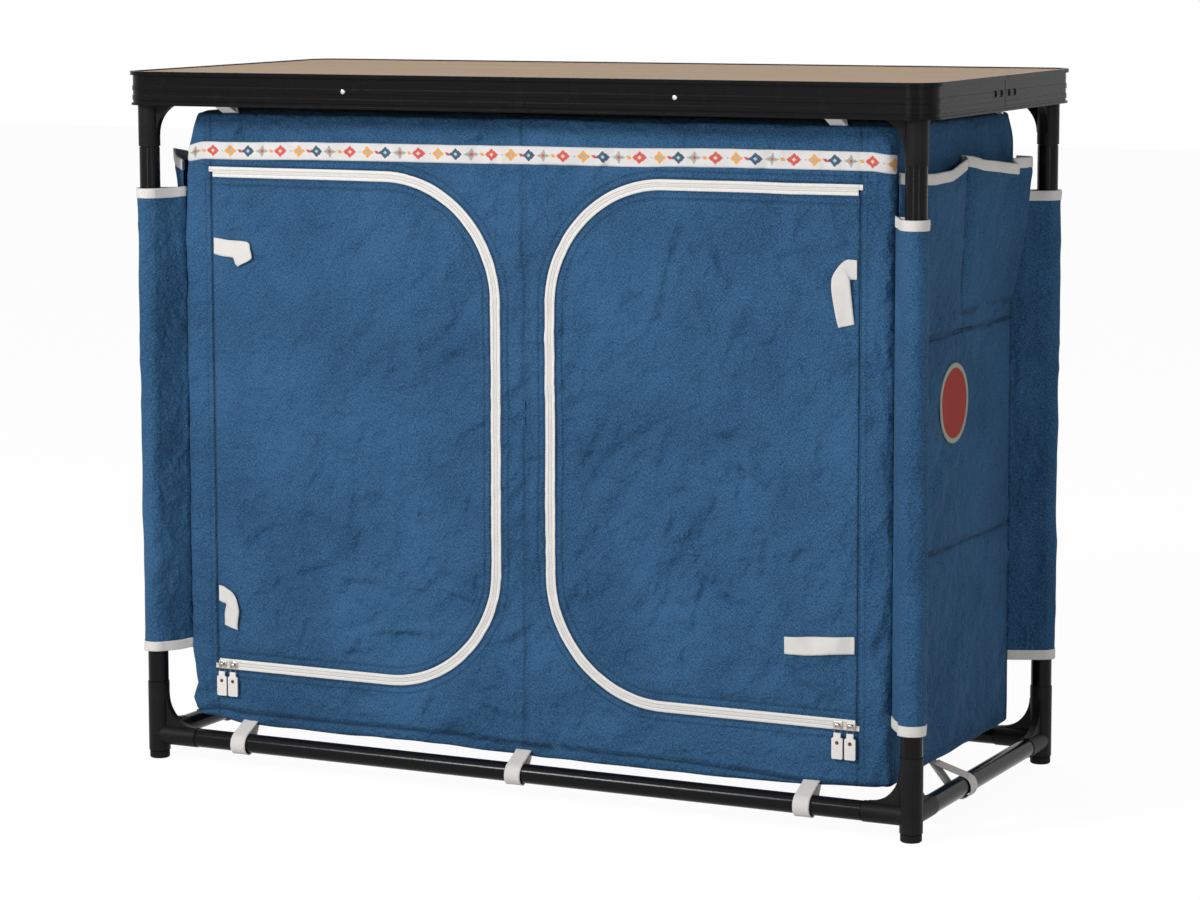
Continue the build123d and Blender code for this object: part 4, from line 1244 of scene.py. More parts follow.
class CUPBOARD_OT_add_zips(bpy.types.Operator):
    """Add both halves of the two zips"""

    bl_idname = "cupboard.add_zips"
    bl_label = "Add the zips"

    def execute(self, context):
        scene = context.scene
        # across the tape and out of the front, in millimetres
        profile = [(0.06, -0.6), (0.06, 0.52), (0.5, 0.70), (1.35, 0.66), (1.75, 0.15), (2.0, 0.12), (2.3, 0.50),
                   (3.8, 0.58), (5.4, 0.48), (6.0, 0.1), (5.95, -0.7)]
        stations = int(ZIP_RUN / (scene.cupboard_trim.scallop / 2))
        teeth = 0.22 * MM * np.where(np.arange(stations) % 2 == 0, 1, -1)
        frame_halves = []
        for name, side in SIDES:
            for body, outward in (("root", 1), ("door_" + name, -1)):
                rows = []
                past = 5 * MM if outward > 0 else 0
                travel = np.linspace(-past, ZIP_RUN + past, stations)
                wobble = 0.35 * MM * ripples(travel, travel * 0, 0.05, 41 if side > 0 else 42)
                wobble *= smooth(travel, 0.30, 0.36)
                for off, rise in profile:
                    tooth = teeth if off > 4.5 else 0
                    x, z = zip_line(side, travel, outward * (off * MM + tooth) + wobble)
                    under = front_relief(x, z, scene) if rise > -0.5 else 0 * x
                    lift = np.clip(under + 0.45 * MM, -1.2 * MM, 1.2 * MM)
                    rows.append(np.stack([x, -WALL_Y - rise * MM - lift, z], 1))
                grid = np.stack(rows, 1)
                places = flat_places(travel, np.array([outward * off * MM for off, _ in profile]))
                turned = -side * outward
                half = woven(f"zip_half_{name}_{outward}", grid[::turned], places[::turned], finishes["zip_tape"])
                if outward > 0:
                    frame_halves.append(half)
                else:
                    half.name = "zip_door_tape_" + name
                    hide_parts("zip_door_half_" + name)
                    cloth_piece(half, body)
        both = joined("zip_frame_tapes", frame_halves)
        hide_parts("zip_frame_halves")
        cloth_piece(both, "root")
        return {"FINISHED"}


class CUPBOARD_OT_add_ribbon(bpy.types.Operator):
    """Add the woven ribbon across the front"""

    bl_idname = "cupboard.add_ribbon"
    bl_label = "Add the ribbon"

    def execute(self, context):
        scene = context.scene
        low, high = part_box("ribbon")
        half = 10.2 * MM
        columns = np.linspace(-SIDE_START - 0.006, SIDE_START - 0.004, 420)
        share = np.linspace(-1, 1, 11)
        middle = (low.z + high.z) / 2 + 0.0021 + 0.0072 * columns + 0.0011 * ripples(columns, 0 * columns, 0.10, 61)
        middle -= 0.0045 * (1 - smooth(columns, -0.445, -0.41)) + 0.003 * smooth(columns, 0.415, 0.445)
        spread = half * (1 - 0.30 * (1 - smooth(columns, -0.452, -0.428)))
        heights = middle[:, None] + spread[:, None] * share
        u = np.repeat(columns[:, None], len(share), 1)
        out = front_relief(np.clip(u, -SIDE_START, SIDE_START), heights, scene) + 0.75 * MM - 0.35 * MM * share ** 4
        grid, _ = wall_grid(u, heights, out)
        places = flat_places(columns + 36.8 * MM, half * share)
        ribbon = thicken(woven("front_ribbon", grid, places, finishes["woven_ribbon"]), 0.7 * MM)
        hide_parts("ribbon")
        cloth_piece(ribbon, "root")
        return {"FINISHED"}


def loop_round(centre, radius, near, far, steps):
    """A smooth strap path from one edge point round a bar and back to another, in a plane."""
    centre, near, far = Vector(centre), Vector(near), Vector(far)
    cross = (near - centre).x * (far - centre).y - (near - centre).y * (far - centre).x
    turn = -1 if cross > 0 else 1

    def touch(point, way):
        gap = point - centre
        heading = np.arctan2(gap.y, gap.x)
        return heading + way * np.arccos(min(1, radius / gap.length))

    start, end = touch(near, turn), touch(far, -turn)
    while (end - start) * turn < 0:
        end += turn * 2 * pi
    arc = [(centre.x + radius * cos(t), centre.y + radius * sin(t)) for t in np.linspace(start, end, steps)]
    first = [tuple(near.lerp(Vector(arc[0]), s)) for s in np.linspace(0, 1, 8)[:-1]]
    last = [tuple(Vector(arc[-1]).lerp(far, s)) for s in np.linspace(0, 1, 8)[1:]]
    return np.array(first + arc + last), turn


class CUPBOARD_OT_add_loops(bpy.types.Operator):
    """Add the webbing loops that tie the cupboard to its rails"""

    bl_idname = "cupboard.add_loops"
    bl_label = "Add the rail loops"

    def execute(self, context):
        pieces = []
        bottom, top, radius = 27.4 * MM, 787.3 * MM, 12.9 * MM
        across = np.linspace(-1, 1, 9)
        lying = across * 9.6 * MM
        places = [("x", sy, x, bottom) for sy in (-1, 1) for x in (-360, 0, 352)]
        places += [("x", sy, x, top) for sy in (-1, 1) for x in (-378, 378)]
        places += [("y", sx, -50, bottom) for sx in (-1, 1)]
        for order, (way, sign, place, height) in enumerate(places):
            rail, edge = (LEG_Y, WALL_Y) if way == "x" else (LEG_X, WALL_X)
            seam = WALL_LOW + 1.5 * MM if height == bottom else WALL_TOP - 1.0 * MM
            path, turn = loop_round((rail, height), radius, (edge - 0.5 * MM, seam), (edge - 5 * MM, seam), 30)
            runs = travelled(path)
            lean = (0.8 + 0.7 * sin(order * 2.1)) * MM
            along = place * MM + lying + (lean * np.sin(runs / runs[-1] * pi * 2))[:, None]
            out = path - np.array([rail, height])
            out = out / np.linalg.norm(out, axis=1)[:, None]
            flat = path[:, None] + out[:, None] * (0.25 * MM * across ** 2 + 0.3 * MM)[:, None]
            level = [along, sign * flat[:, :, 0]]
            grid = np.stack([*(level if way == "x" else level[::-1]), flat[:, :, 1]], 2)
            band = woven(f"loop_{order}", grid, flat_places(runs + order * 0.013, lying), finishes["white_webbing"])
            if turn * sign * (1 if way == "x" else -1) > 0:
                band.data.flip_normals()
            pieces.append(thicken(band, 1.3 * MM, 1.0))
        loops = joined("webbing_loops", pieces)
        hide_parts("rail_loops")
        cloth_piece(loops, "root")
        return {"FINISHED"}


class CUPBOARD_OT_add_sleeves(bpy.types.Operator):
    """Add the sleeves that hold the cupboard to its legs"""

    bl_idname = "cupboard.add_sleeves"
    bl_label = "Add the leg sleeves"

    def execute(self, context):
        for name, sx in SIDES:
            parts, hems = [], []
            for sy in (-1, 1):
                base, top = {(-1, -1): (130, 675.7), (1, -1): (117, 667.6)}.get((sx, sy), (126, 672))
                base, top = base * MM, top * MM
                seed = 300 + 7 * sx + 3 * sy
                path, turn = loop_round((LEG_X, -LEG_Y), 14.3 * MM, (WALL_X - 0.4 * MM, -WALL_Y + 5.5 * MM),
                                        (WALL_X - 0.2 * MM, -WALL_Y + 9 * MM), 46)
                path = path[::turn]
                far = travelled(path)
                runs = np.linspace(0, far[-1], 84)
                path = np.stack([np.interp(runs, far, path[:, k]) for k in range(2)], 1)
                ahead = np.gradient(path, axis=0)
                out = np.stack([ahead[:, 1], -ahead[:, 0]], 1)
                out /= np.linalg.norm(out, axis=1)[:, None]
                loose = smooth(runs, 0.0, 0.012) * (1 - smooth(runs, runs[-1] - 0.012, runs[-1]))

                def shell(heights, lift):
                    r = np.repeat(runs[:, None], heights.shape[1], 1)
                    folds = 1.5 * MM * ripples(r + 0.02 * heights, heights * 0.10, 0.013, seed)
                    folds += 0.8 * MM * ripples(r, heights, 0.034, seed + 1)
                    folds += 0.8 * MM * crumpled(r, heights * 0.6, 0.026, seed + 2)
                    away = np.maximum(folds * loose[:, None] * 0.9 + 0.7 * MM, -0.9 * MM) + lift
                    across, deep = (path[:, None, k] + out[:, None, k] * away for k in range(2))
                    shaped = np.stack([sx * across, -sy * deep, heights], 2)
                    return shaped[::-sx * sy], np.stack([r, heights], 2)[::-sx * sy]

                rise = 1.5 * MM * (1 - smooth(runs, 0, 0.020))
                inner = base + 4 * MM
                heights = inner + (top - 4 * MM - inner) * np.linspace(0, 1, 110)[None, :] + 0 * runs[:, None]
                grid, uv = shell(heights, 0.0)
                parts.append(woven(f"sleeve_{sx}_{sy}", grid, uv, finishes["blue_fabric"]))
                for start, end in ((base - 0.4 * MM, base + 11 * MM), (top - 11 * MM, top + 0.4 * MM)):
                    heights = start + (end - start) * np.linspace(0, 1, 9)[None, :] + rise[:, None] * 0.8
                    grid, uv = shell(heights, 0.7 * MM)
                    hems.append(thicken(woven(f"hem_{sx}_{sy}", grid, uv, finishes["white_webbing"]), 1.5 * MM))
            sleeves = thicken(joined("leg_sleeve_cloth_" + name, parts), 1.0 * MM)
            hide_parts("leg_sleeves_" + name)
            cloth_piece(sleeves, "root")
            trims = cloth_piece(joined("sleeve_hems_" + name, hems), "root")
        return {"FINISHED"}


def pocket_reach(y, side):
    """How far a pocket's hem stands off its side at a place along it."""
    spots = [-184, -178, -168, -150, -100, -40, -6, 4, 7.5, 10.5, 14,
             24, 60, 110, 125, 128, 131, 150, 168, 174, 179, 184]
    reach = [1.5, 5, 8, 12, 17, 15, 12, 7, 0.4, 0.4, 7, 12, 17, 21, 26, 17, 16, 21, 26, 26, 14, 2]
    if side < 0:
        reach[1:4] = [15, 23, 22]
    return np.interp(y / MM, spots, reach) * MM


def pocket_height(y, side):
    """Height of a pocket's hem along its side."""
    spots = [-184, -168, -150, -110, -60, -20, 9, 40, 90, 126, 130, 160, 184]
    tops = [715, 713, 712, 709, 710, 716, 722, 716, 711, 707, 713, 712, 712]
    if side < 0:
        tops[:3] = [707, 720, 717]
    return np.interp(y / MM, spots, tops) * MM


class CUPBOARD_OT_add_pockets(bpy.types.Operator):
    """Add the double pocket on each side"""

    bl_idname = "cupboard.add_pockets"
    bl_label = "Add the side pockets"

    def execute(self, context):
        for name, sx in SIDES:
            low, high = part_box("side_pocket_" + name)
            close = [9 + np.linspace(-14, 14, 27), 128 + np.linspace(-7, 7, 15)]
            along = np.unique(np.concatenate([np.linspace(-183.5, 183.5, 140), *close]).round(2)) * MM
            share = np.linspace(0, 1, 60)
            y, v = np.meshgrid(along, share, indexing="ij")
            blur = sum(pocket_reach(y + d * MM, sx) for d in (-1.5, 0, 1.5)) / 3
            reach = np.where(np.abs(y) > 176 * MM, pocket_reach(y, sx), blur)
            seed = 400 + sx
            belly = v ** 0.85 + 0.16 * np.sin(pi * v)
            tidy = smooth(184 * MM - np.abs(y), 0, 12 * MM) * smooth(np.abs(y - 9 * MM), 0, 10 * MM)
            folds = 2.2 * MM * ripples(y + 0.03 * v, v * 0.05, 0.028, seed)
            folds += 1.4 * MM * crumpled(y, v * 0.16, 0.05, seed + 1)
            x = WALL_X + 1.3 * MM + reach * belly + folds * tidy * (0.25 + 0.75 * v)
            x = np.minimum(x, (high.x if sx > 0 else -low.x) + 1 * MM)
            top = pocket_height(y, sx)
            z = low.z + (top - low.z) * v + 0.8 * MM * ripples(y, v, 0.05, seed + 3) * v
            grid, places = np.stack([sx * x, y, z], 2)[::sx], np.stack([y, z], 2)[::sx]
            # painted shade in the divider's fold, the rear pleat and along the lower seams
            seams = 0.8 * line(y - 9 * MM, 1.8 * MM) + 0.5 * line(y - 128 * MM, 2.0 * MM) * v
            seams += 0.8 * line(z - low.z - 1.8 * MM, 1.5 * MM) + 0.5 * line(z - low.z - 5.4 * MM, 1.3 * MM)
            pocket = woven("pocket_cloth_" + name, grid, places, finishes["blue_fabric"], seam=np.clip(seams, 0, 0.85))
            thicken(pocket, 1.0 * MM)
            bound = np.array([(0.75, -11.5), (0.95, -10.8), (0.95, -6), (0.95, -1.0), (0.5, 0.35), (-0.3, 0.7),
                              (-1.4, 0.5), (-1.95, -1.0), (-1.95, -6), (-1.95, -11.0), (-1.5, -11.5)]) * MM
            rim = grid[:, -1]
            slope = rim - grid[:, -8]
            down = slope / np.linalg.norm(slope, axis=1)[:, None]
            outward = np.cross(np.gradient(rim, axis=0), down)
            outward /= np.linalg.norm(outward, axis=1)[:, None]
            hem = np.stack([rim + outward * lift + down * drop for lift, drop in bound], 1)
            flat = flat_places(np.linspace(0, 0.41, len(along)), np.linspace(0, 0.027, len(bound)))
            binding = woven("pocket_hem_" + name, hem, flat, finishes["white_webbing"])
            cloth_piece(binding, "root")
            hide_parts("side_pocket_" + name)
            cloth_piece(pocket, "root")
        return {"FINISHED"}


class CUPBOARD_OT_add_ties(bpy.types.Operator):
    """Add the ties that hold a rolled-up door"""

    bl_idname = "cupboard.add_ties"
    bl_label = "Add the door ties"

    def execute(self, context):
        scene = context.scene
        # each tie: the two edges of the strap at its turns, in millimetres across and up, and its lift
        ties = {
            "left": [
                [(-401, 619, -401, 600, 0.9), (-379, 617, -389, 598, 1.3), (-354, 615, -374, 597, 1.8),
                 (-351, 606, -371, 593, 2.8), (-349, 598, -370, 590, 3.4), (-352, 594, -368, 587, 3.0)],
                [(-401, 209, -401, 191, 0.9), (-393, 208, -395, 189, 1.6), (-382, 202, -390, 188, 2.4),
                 (-375, 191, -391, 182, 3.2), (-372, 180, -392, 176, 3.2), (-374, 170, -392, 169, 2.6),
                 (-375, 158, -393, 163, 1.8)],
            ],
            "right": [
                [(401, 621, 401, 600, 0.9), (389, 621, 394.5, 600, 1.3), (381, 614, 393.5, 600, 3.2),
                 (375, 605, 393.8, 599.5, 3.6), (373, 597, 394, 597, 3.2), (376, 573, 396, 575, 2.0),
                 (381, 548, 398.5, 552, 1.0)],
                [(401, 213, 401, 194, 0.9), (380, 212, 380, 193, 1.2), (352, 210, 352, 190, 1.5),
                 (321, 208, 321, 189, 1.2)],
            ],
        }
        across = np.linspace(0, 1, 9)
        for name, pair in ties.items():
            pieces = []
            for order, turns in enumerate(pair):
                turns = np.array(turns, float) * MM
                steps = np.linspace(0, len(turns) - 1, 12 * (len(turns) - 1) + 1)
                whole = np.minimum(steps.astype(int), len(turns) - 2)
                part = (steps - whole)[:, None]

                def knot(k):
                    return turns[np.clip(whole + k, 0, len(turns) - 1)]

                bent = 0.5 * (2 * knot(0) + (knot(1) - knot(-1)) * part
                              + (2 * knot(-1) - 5 * knot(0) + 4 * knot(1) - knot(2)) * part ** 2
                              + (3 * knot(0) - knot(-1) - 3 * knot(1) + knot(2)) * part ** 3)
                x, z = (bent[:, None, k] * (1 - across) + bent[:, None, k + 2] * across for k in range(2))
                lift = bent[:, None, 4] + 0.35 * MM * (2 * across - 1) ** 2
                lift = lift + np.maximum(front_relief(x, z, scene), -0.2 * MM)
                grid = np.stack([x, -WALL_Y - lift, z], 2)
                uv = flat_places(travelled(grid[:, 4]), across * 19 * MM)
                band = woven(f"tie_{name}_{order}", grid, uv, finishes["white_webbing"])
                pieces.append(thicken(band, 1.1 * MM, 0.0))
            whole = worked(joined("door_ties_" + name, pieces), normals_make_consistent={"inside": False})
            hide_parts("tie_straps_" + name)
            cloth_piece(whole, "door_" + name)
        return {"FINISHED"}


def added_block(name, middle, size, bevel=0, segments=3):
    """A block, with rounded edges if it has a bevel."""
    piece = fixed(added(bpy.ops.mesh.primitive_cube_add, size=1, location=middle), size)
    piece.name = name
    return modified(piece, "BEVEL", width=bevel, segments=segments) if bevel else piece


class CUPBOARD_OT_add_inside(bpy.types.Operator):
    """Add the shelves and the upright divider"""

    bl_idname = "cupboard.add_inside"
    bl_label = "Add shelves and divider"

    def execute(self, context):
        low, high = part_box("divider")
        y, z = np.meshgrid(np.linspace(low.y, high.y, 70), np.linspace(low.z, high.z, 120), indexing="ij")
        calm = smooth(np.minimum(y - low.y, high.y - y), 0, 0.02)
        for level in SHELF_HEIGHTS:
            calm = calm * smooth(np.abs(z - level - 2.5 * MM), 0.003, 0.03)
        x = 0.5 * MM + calm * (2.4 * MM * ripples(y, z, 0.10, 501) + 0.8 * MM * crumpled(y, z, 0.05, 502))
        grid = np.stack([x, y, z], 2)
        divider = thicken(woven("divider_cloth", grid, np.stack([y, z], 2), finishes["blue_fabric"]), 1.0 * MM)
        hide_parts("divider")
        cloth_piece(divider, "root")
        shelves = []
        low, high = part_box("shelves")
        for level in SHELF_HEIGHTS:
            for side in (-1, 1):
                middle = (side * (high.x + 0.00075) / 2, (low.y + high.y) / 2, level + 2.5 * MM)
                size = (high.x - 0.0018, high.y - low.y - 0.0006, 5 * MM)
                board = worked(added_block("shelf", middle, size), subdivide={"number_cuts": 40})
                co = np.zeros(len(board.data.vertices) * 3)
                board.data.vertices.foreach_get("co", co)
                co = co.reshape(-1, 3)
                rim = np.minimum(*(size[k] / 2 - np.abs(co[:, k] - middle[k]) for k in range(2)))
                puff = 0.7 * MM * smooth(rim, 0, 0.02) * (0.4 + 0.6 * ripples(co[:, 0], co[:, 1], 0.06, 510))
                co[:, 2] += puff * (co[:, 2] > middle[2])
                board.data.vertices.foreach_set("co", co.ravel())
                layer = board.data.uv_layers.active or board.data.uv_layers.new(name="cloth")
                layer.name = "cloth"
                for loop in board.data.loops:
                    point = board.data.vertices[loop.vertex_index].co
                    layer.data[loop.index].uv = (point.x + 0.3 * point.z, point.y + point.z)
                board.data.materials.append(finishes["blue_fabric"])
                shelves.append(modified(board, "BEVEL", width=1.2 * MM, segments=3))
        whole = settled(joined("cloth_shelves", shelves), 50)
        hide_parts("shelves")
        cloth_piece(whole, "root")
        return {"FINISHED"}


class CUPBOARD_OT_add_rivets(bpy.types.Operator):
    """Add the domed heads of the rims' rivets"""

    bl_idname = "cupboard.add_rivets"
    bl_label = "Add the rivet heads"

    def execute(self, context):
        rise = 1.3 * MM
        for half, sign in (("front", -1), ("rear", 1)):
            low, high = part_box("rim_rivets_" + half)
            outer_y = low.y if sign < 0 else high.y
            middle_z = (low.z + high.z) / 2
            spots = [(x, outer_y, (radians(90), 0, 0)) for x in (-205 * MM, 205 * MM)]
            spots += [(x, sign * y, (0, radians(90), 0)) for x in (low.x, high.x) for y in (12 * MM, 31 * MM)]
            heads = []
            for x, y, turn in spots:
                at_end = abs(y) > 0.1
                place = (x, y - sign * rise, middle_z) if at_end else (x - rise * (1 if x > 0 else -1), y, middle_z)
                radius = 2.9 * MM if at_end else 3.9 * MM
                head = added(bpy.ops.mesh.primitive_uv_sphere_add, segments=28, ring_count=16, radius=1,
                             location=place, rotation=turn)
                heads.append(fixed(head, (radius, radius, rise)))
            whole = settled(joined("rivet_heads_" + half, heads), 60)
            painted(whole, finishes["black_rivet"])
            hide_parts("rim_rivets_" + half)
            cloth_piece(whole, "worktop_" + half)
        return {"FINISHED"}


class CUPBOARD_OT_add_zip_pulls(bpy.types.Operator):
    """Add the four zip sliders with their wire links, tabs and eyelets"""

    bl_idname = "cupboard.add_zip_pulls"
    bl_label = "Add the zip pulls"

    def execute(self, context):
        for side in ("left", "right"):
            for order in ("outer", "inner"):
                self.add_slider(side, order)
                self.add_puller(side, order)
        return {"FINISHED"}

    def add_slider(self, side, order):
        node = f"zip_slider_{side}_{order}"
        low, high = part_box(node)
        middle = (low + high) / 2
        plate = 1.3 * MM
        back_low = high.y - plate / 2
        front = back_low - 2.2 * MM - 2 * 0.35 * MM - plate
        inward = 1 if side == "left" else -1
        pieces = []
        for y in (front, back_low):
            block = added_block("plate", (middle.x, y, middle.z), (10.8 * MM, plate, 8.8 * MM))
            for vert in block.data.vertices:
                if (vert.co.x - middle.x) * inward > 0:
                    vert.co.z = middle.z + (vert.co.z - middle.z) * 0.66
            pieces.append(modified(block, "BEVEL", width=0.55 * MM, segments=3))
        pieces.append(added_block("post", (middle.x, (front + back_low) / 2, middle.z),
                                  (2.4 * MM, 3.2 * MM, 0.3 * MM), 0.05 * MM, 1))
        arch = added(bpy.ops.mesh.primitive_torus_add, major_segments=28, minor_segments=12,
                     major_radius=1.45 * MM, minor_radius=0.42 * MM, rotation=(0, radians(90), 0),
                     location=(middle.x, front - plate / 2 - 1.15 * MM, middle.z))
        pieces.append(fixed(arch, (1.0, 1.0, 5.4)))
        slider = settled(joined("zip_slide_" + side + "_" + order, pieces))
        painted(slider, finishes["slider_metal"])
        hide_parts(node)
        cloth_piece(slider, node)

    def add_puller(self, side, order):
        node = f"zip_puller_{side}_{order}"
        low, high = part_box(node)
        x = (low.x + high.x) / 2
        y = -193.75 * MM
        upright = (radians(90), 0, 0)
        top, hook = DOOR_LOW, DOOR_LOW - 10 * MM
        link = fixed(added(bpy.ops.curve.primitive_bezier_circle_add, radius=1, rotation=upright,
                           location=(x, y, (top + hook) / 2)), (3.9 * MM, 5.1 * MM, 1))
        link.data.bevel_depth = 0.55 * MM
        link.data.bevel_resolution = 4
        link.data.resolution_u = 14
        bpy.ops.object.convert(target="MESH")
        painted(link, finishes["link_metal"])

        tab = added_block("tab", (x, y, hook - 16 * MM), (12.8 * MM, 2.1 * MM, 23.5 * MM))
        bpy.ops.object.mode_set(mode="EDIT")
        bpy.ops.mesh.select_all(action="DESELECT")
        bpy.ops.object.mode_set(mode="OBJECT")
        for face in tab.data.polygons:
            face.select = face.normal.z > 0.9
        bpy.ops.object.mode_set(mode="EDIT")
        bpy.ops.mesh.extrude_region_move(TRANSFORM_OT_translate={"value": (0, 0, 0)})
        bpy.ops.transform.resize(value=(0.62, 1, 1))
        bpy.ops.mesh.extrude_region_move(TRANSFORM_OT_translate={"value": (0, 0, 5.4 * MM)})
        bpy.ops.object.mode_set(mode="OBJECT")
        weights = tab.data.attributes.new("bevel_weight_edge", "FLOAT", "EDGE")
        for edge in tab.data.edges:
            first, second = (tab.data.vertices[k].co for k in edge.vertices)
            through = abs(first.x - second.x) < 1e-6 and abs(first.z - second.z) < 1e-6
            weights.data[edge.index].value = 1.0 if through and abs(first.x - x) > 4.5 * MM else 0.0
        for width, segments, limit in ((1.5 * MM, 4, "WEIGHT"), (0.5 * MM, 3, "ANGLE")):
            modified(tab, "BEVEL", width=width, segments=segments, limit_method=limit, angle_limit=radians(50))
        settled(painted(tab, finishes["pull_tab"]))

        eye = hook - 9.8 * MM
        rings = [added(bpy.ops.mesh.primitive_torus_add, major_segments=28, minor_segments=10,
                       major_radius=1.65 * MM, minor_radius=0.5 * MM, location=(x, y + face * 1.0 * MM, eye),
                       rotation=upright) for face in (-1, 1)]
        rings.append(added(bpy.ops.mesh.primitive_cylinder_add, vertices=24, radius=1.3 * MM, depth=2.3 * MM,
                           location=(x, y, eye), rotation=upright))
        for ring in rings:
            painted(fixed(ring), finishes["eyelet_metal"])
        eyelet = settled(joined("zip_eyelet_" + side + "_" + order, rings))
        link.name = "zip_link_" + side + "_" + order
        tab.name = "zip_tab_" + side + "_" + order
        settled(link, 60)
        for piece, slot in ((link, "slider_metal"), (tab, "pull_tab"), (eyelet, "slider_metal")):
            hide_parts(node)
            cloth_piece(piece, node)


class CUPBOARD_OT_add_patch(bpy.types.Operator):
    """Add the plain round patch on the right side"""

    bl_idname = "cupboard.add_patch"
    bl_label = "Add the round patch"

    def execute(self, context):
        def laid(angle, ring, rise):
            y, z = -8 * MM + ring * np.cos(angle), 449 * MM + ring * np.sin(angle)
            return np.stack([WALL_X + rise + 0.5 * MM * ripples(y, z, 0.03, 601), y, z], 2)

        rings = np.array([0.0005, 8, 16, 24, 31, 36, 39.2, 40.0]) * MM
        angle, ring = np.meshgrid(np.linspace(0, 2 * pi, 97), rings, indexing="ij")
        grid = laid(angle, ring, 1.7 * MM - 0.25 * MM * smooth(ring, 38.6 * MM, 40 * MM))
        merged = {"threshold": 0.00001}
        face = worked(woven("patch_face", grid, grid[:, :, 1:], finishes["patch_cloth"]), remove_doubles=merged)
        turns, section = np.linspace(0, 2 * pi, 193)[:-1], np.linspace(0, 2 * pi, 13)
        angle, around = np.meshgrid(turns, section, indexing="ij")
        grid = laid(angle, 42.0 * MM + 3.0 * MM * np.cos(around), 1.2 * MM + 1.25 * MM * np.sin(around))
        flat = flat_places(turns * 42 * MM, np.linspace(0, 0.012, 13))
        border = woven("patch_edge", grid, flat, finishes["patch_border"], closed=True)
        worked(border, remove_doubles=merged, normals_make_consistent={"inside": False})
        cloth_piece(border, "root")
        cloth_piece(face, "root")
        return {"FINISHED"}


class CUPBOARD_OT_add_stitching(bpy.types.Operator):
    """Add the seams' stitches"""

    bl_idname = "cupboard.add_stitching"
    bl_label = "Add the stitching"

    def execute(self, context):
        scene = context.scene

        def front_row(x, z):
            return wall_row(x, z, front_relief(x, z, scene))

        travel = np.linspace(0.012, ZIP_RUN - 0.012, 460)
        root_rows = []
        for name, side in SIDES:
            root_rows += [front_row(*zip_line(side, travel, off)) for off in (8.2 * MM, 15.0 * MM)]
            heights = np.linspace(WALL_LOW + 0.016, WALL_TOP - 0.006, 220)
            root_rows += [front_row(0 * heights + side * (HINGE_X + off), heights) for off in (1.9 * MM, 8.0 * MM)]
            rows = [front_row(*zip_line(side, travel, -off)) for off in (7.6 * MM, 14.6 * MM)]
            stitched("stitches_door_" + name, rows, "door_" + name)
        wide = np.linspace(-FLAT_X + 0.004, FLAT_X - 0.004, 300)
        root_rows.append(front_row(wide, belly_seam(wide) + 3.2 * MM))
        heights = np.linspace(WALL_LOW + 0.006, WALL_TOP - 0.006, 200)
        root_rows.append(front_row(0 * heights + 2.8 * MM, heights))
        stitched("stitches_front", root_rows, "root")

        spread = np.linspace(-176 * MM, 176 * MM, 120)
        around = np.linspace(SIDE_START + 3 * MM, SIDE_END - 3 * MM, 120)
        side_rows = []
        for sign in (-1, 1):
            side_rows += [side_row(sign, 1.6 * MM, spread, height) for height in (546.8 * MM, 550.0 * MM)]
            side_rows += [wall_row(sign * around, 0 * around + level + lift, 0 * around)
                          for level in SHELF_HEIGHTS for lift in (-1.6 * MM, 2.6 * MM)]
            side_rows.append(side_row(sign, 3.0 * MM, 9 * MM, np.linspace(550 * MM, 700 * MM, 60)))
        stitched("stitches_sides", side_rows, "root")
        return {"FINISHED"}


def added_lamp(name, place, target, size, power):
    """A soft box aimed at a point."""
    data = bpy.data.lights.new(name, "AREA")
    data.shape = "RECTANGLE"
    data.size, data.size_y = size
    data.energy = power
    lamp = bpy.data.objects.new(name, data)
    bpy.context.scene.collection.objects.link(lamp)
    lamp.location = place
    lamp.rotation_euler = (Vector(target) - Vector(place)).to_track_quat("-Z", "Y").to_euler()


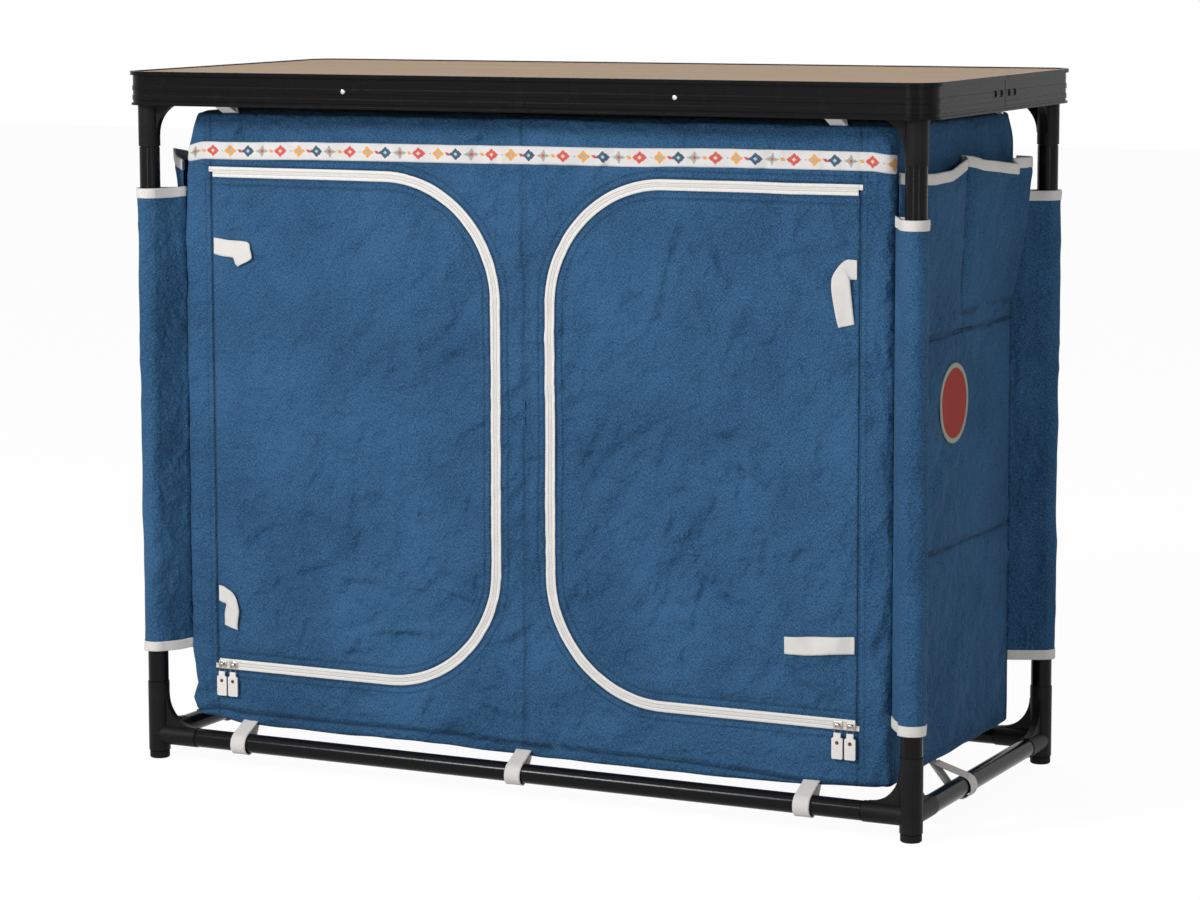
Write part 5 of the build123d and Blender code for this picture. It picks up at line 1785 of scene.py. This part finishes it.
class CUPBOARD_OT_set_stage(bpy.types.Operator):
    """Set the floor, the lamps, the sky and the camera"""

    bl_idname = "cupboard.set_stage"
    bl_label = "Set the stage"

    def execute(self, context):
        stage = context.scene.cupboard_stage
        bpy.ops.object.select_all(action="DESELECT")
        bpy.ops.mesh.primitive_plane_add(size=24, location=(0, 0, 0))
        floor = bpy.context.active_object
        floor.name = "stage_floor"
        finish = Finish("stage_floor", roughness=0.9, specular_ior_level=0.1)
        grain = finish.noise(finish.place(), 30, 2, 0.5)
        base = tuple(stage.floor)
        finish.paint(base_color=finish.mix(grain, tinted(base, 0.985), base))
        glow = finish.node("ShaderNodeEmission", None, {"Color": (1, 1, 1, 1), "Strength": 1.03})
        finish.seen_as(glow["Emission"], 0.93)
        painted(floor, finish.material)

        world = bpy.data.worlds.new("studio")
        context.scene.world = world
        sky = Nodes(world, "World Output")
        even = sky.tree.nodes["Background"]
        even.inputs["Color"].default_value = (1, 1, 1, 1)
        even.inputs["Strength"].default_value = stage.sky
        sky.seen_as(sky.node("ShaderNodeBackground", None, {"Color": (1, 1, 1, 1), "Strength": 1.0})["Background"])

        target = (0, 0, 0.45)
        added_lamp("key_box", (-1.8, -3.2, 2.5), target, (0.8, 0.8), stage.key)
        added_lamp("strip_left", (-0.2, -3.7, 0.9), target, (0.10, 1.8), 14)
        added_lamp("strip_right", (2.9, -2.6, 0.9), (0.45, 0, 0.45), (0.10, 1.8), 10)
        added_lamp("fill_right", (3.4, -1.6, 1.7), (0.45, 0, 0.45), (0.5, 0.5), 15)
        added_lamp("top_box", (0.2, 0.9, 3.0), (0, 0, 0.8), (2.2, 1.2), 16)

        camera_data = bpy.data.cameras.new("camera")
        camera_data.sensor_width = 36
        camera_data.lens = 110.93
        camera_data.shift_x = 0.0674
        camera_data.shift_y = -0.0438
        camera = bpy.data.objects.new("camera", camera_data)
        context.scene.collection.objects.link(camera)
        yaw, pitch, roll = -0.4713, 0.1253, -0.005
        ahead = Vector((sin(yaw) * cos(pitch), cos(yaw) * cos(pitch), -sin(pitch)))
        right = Vector((cos(yaw), -sin(yaw), 0))
        up = right.cross(ahead)
        across = cos(roll) * right + sin(roll) * up
        above = -sin(roll) * right + cos(roll) * up
        turn = Matrix((across, above, -ahead)).transposed().to_4x4()
        camera.matrix_world = Matrix.Translation((1.862, -3.8525, 0.9701)) @ turn
        context.scene.camera = camera
        context.scene.view_settings.view_transform = "Standard"
        return {"FINISHED"}


class CUPBOARD_PT_panel(bpy.types.Panel):
    """The cupboard's sizes, colours and steps"""

    bl_idname = "CUPBOARD_PT_panel"
    bl_label = "Camping Cupboard"
    bl_space_type = "VIEW_3D"
    bl_region_type = "UI"
    bl_category = "Cupboard"

    def draw(self, context):
        layout = self.layout
        for group in ("cupboard_cloth", "cupboard_trim", "cupboard_hardware", "cupboard_stage"):
            settings = getattr(context.scene, group)
            box = layout.box()
            for name in settings.__annotations__:
                box.prop(settings, name)
        for step in steps:
            layout.operator(step.bl_idname)


groups = {
    "cupboard_cloth": CupboardCloth,
    "cupboard_trim": CupboardTrim,
    "cupboard_hardware": CupboardHardware,
    "cupboard_stage": CupboardStage,
}
steps = (
    CUPBOARD_OT_set_stage,
    CUPBOARD_OT_finish_frame,
    CUPBOARD_OT_add_walls,
    CUPBOARD_OT_add_doors,
    CUPBOARD_OT_add_inside,
    CUPBOARD_OT_add_zips,
    CUPBOARD_OT_add_zip_pulls,
    CUPBOARD_OT_add_rivets,
    CUPBOARD_OT_add_ribbon,
    CUPBOARD_OT_add_ties,
    CUPBOARD_OT_add_sleeves,
    CUPBOARD_OT_add_pockets,
    CUPBOARD_OT_add_loops,
    CUPBOARD_OT_add_patch,
    CUPBOARD_OT_add_stitching,
)


def register():
    for group in groups.values():
        bpy.utils.register_class(group)
    for name, group in groups.items():
        setattr(bpy.types.Scene, name, bpy.props.PointerProperty(type=group))
    for step in steps:
        bpy.utils.register_class(step)
    bpy.utils.register_class(CUPBOARD_PT_panel)


def unregister():
    bpy.utils.unregister_class(CUPBOARD_PT_panel)
    for step in reversed(steps):
        bpy.utils.unregister_class(step)
    for name, group in groups.items():
        delattr(bpy.types.Scene, name)
        bpy.utils.unregister_class(group)


def main():
    register()
    for step in steps:
        area, action = step.bl_idname.split(".")
        getattr(getattr(bpy.ops, area), action)()


if __name__ == "__main__":
    main()
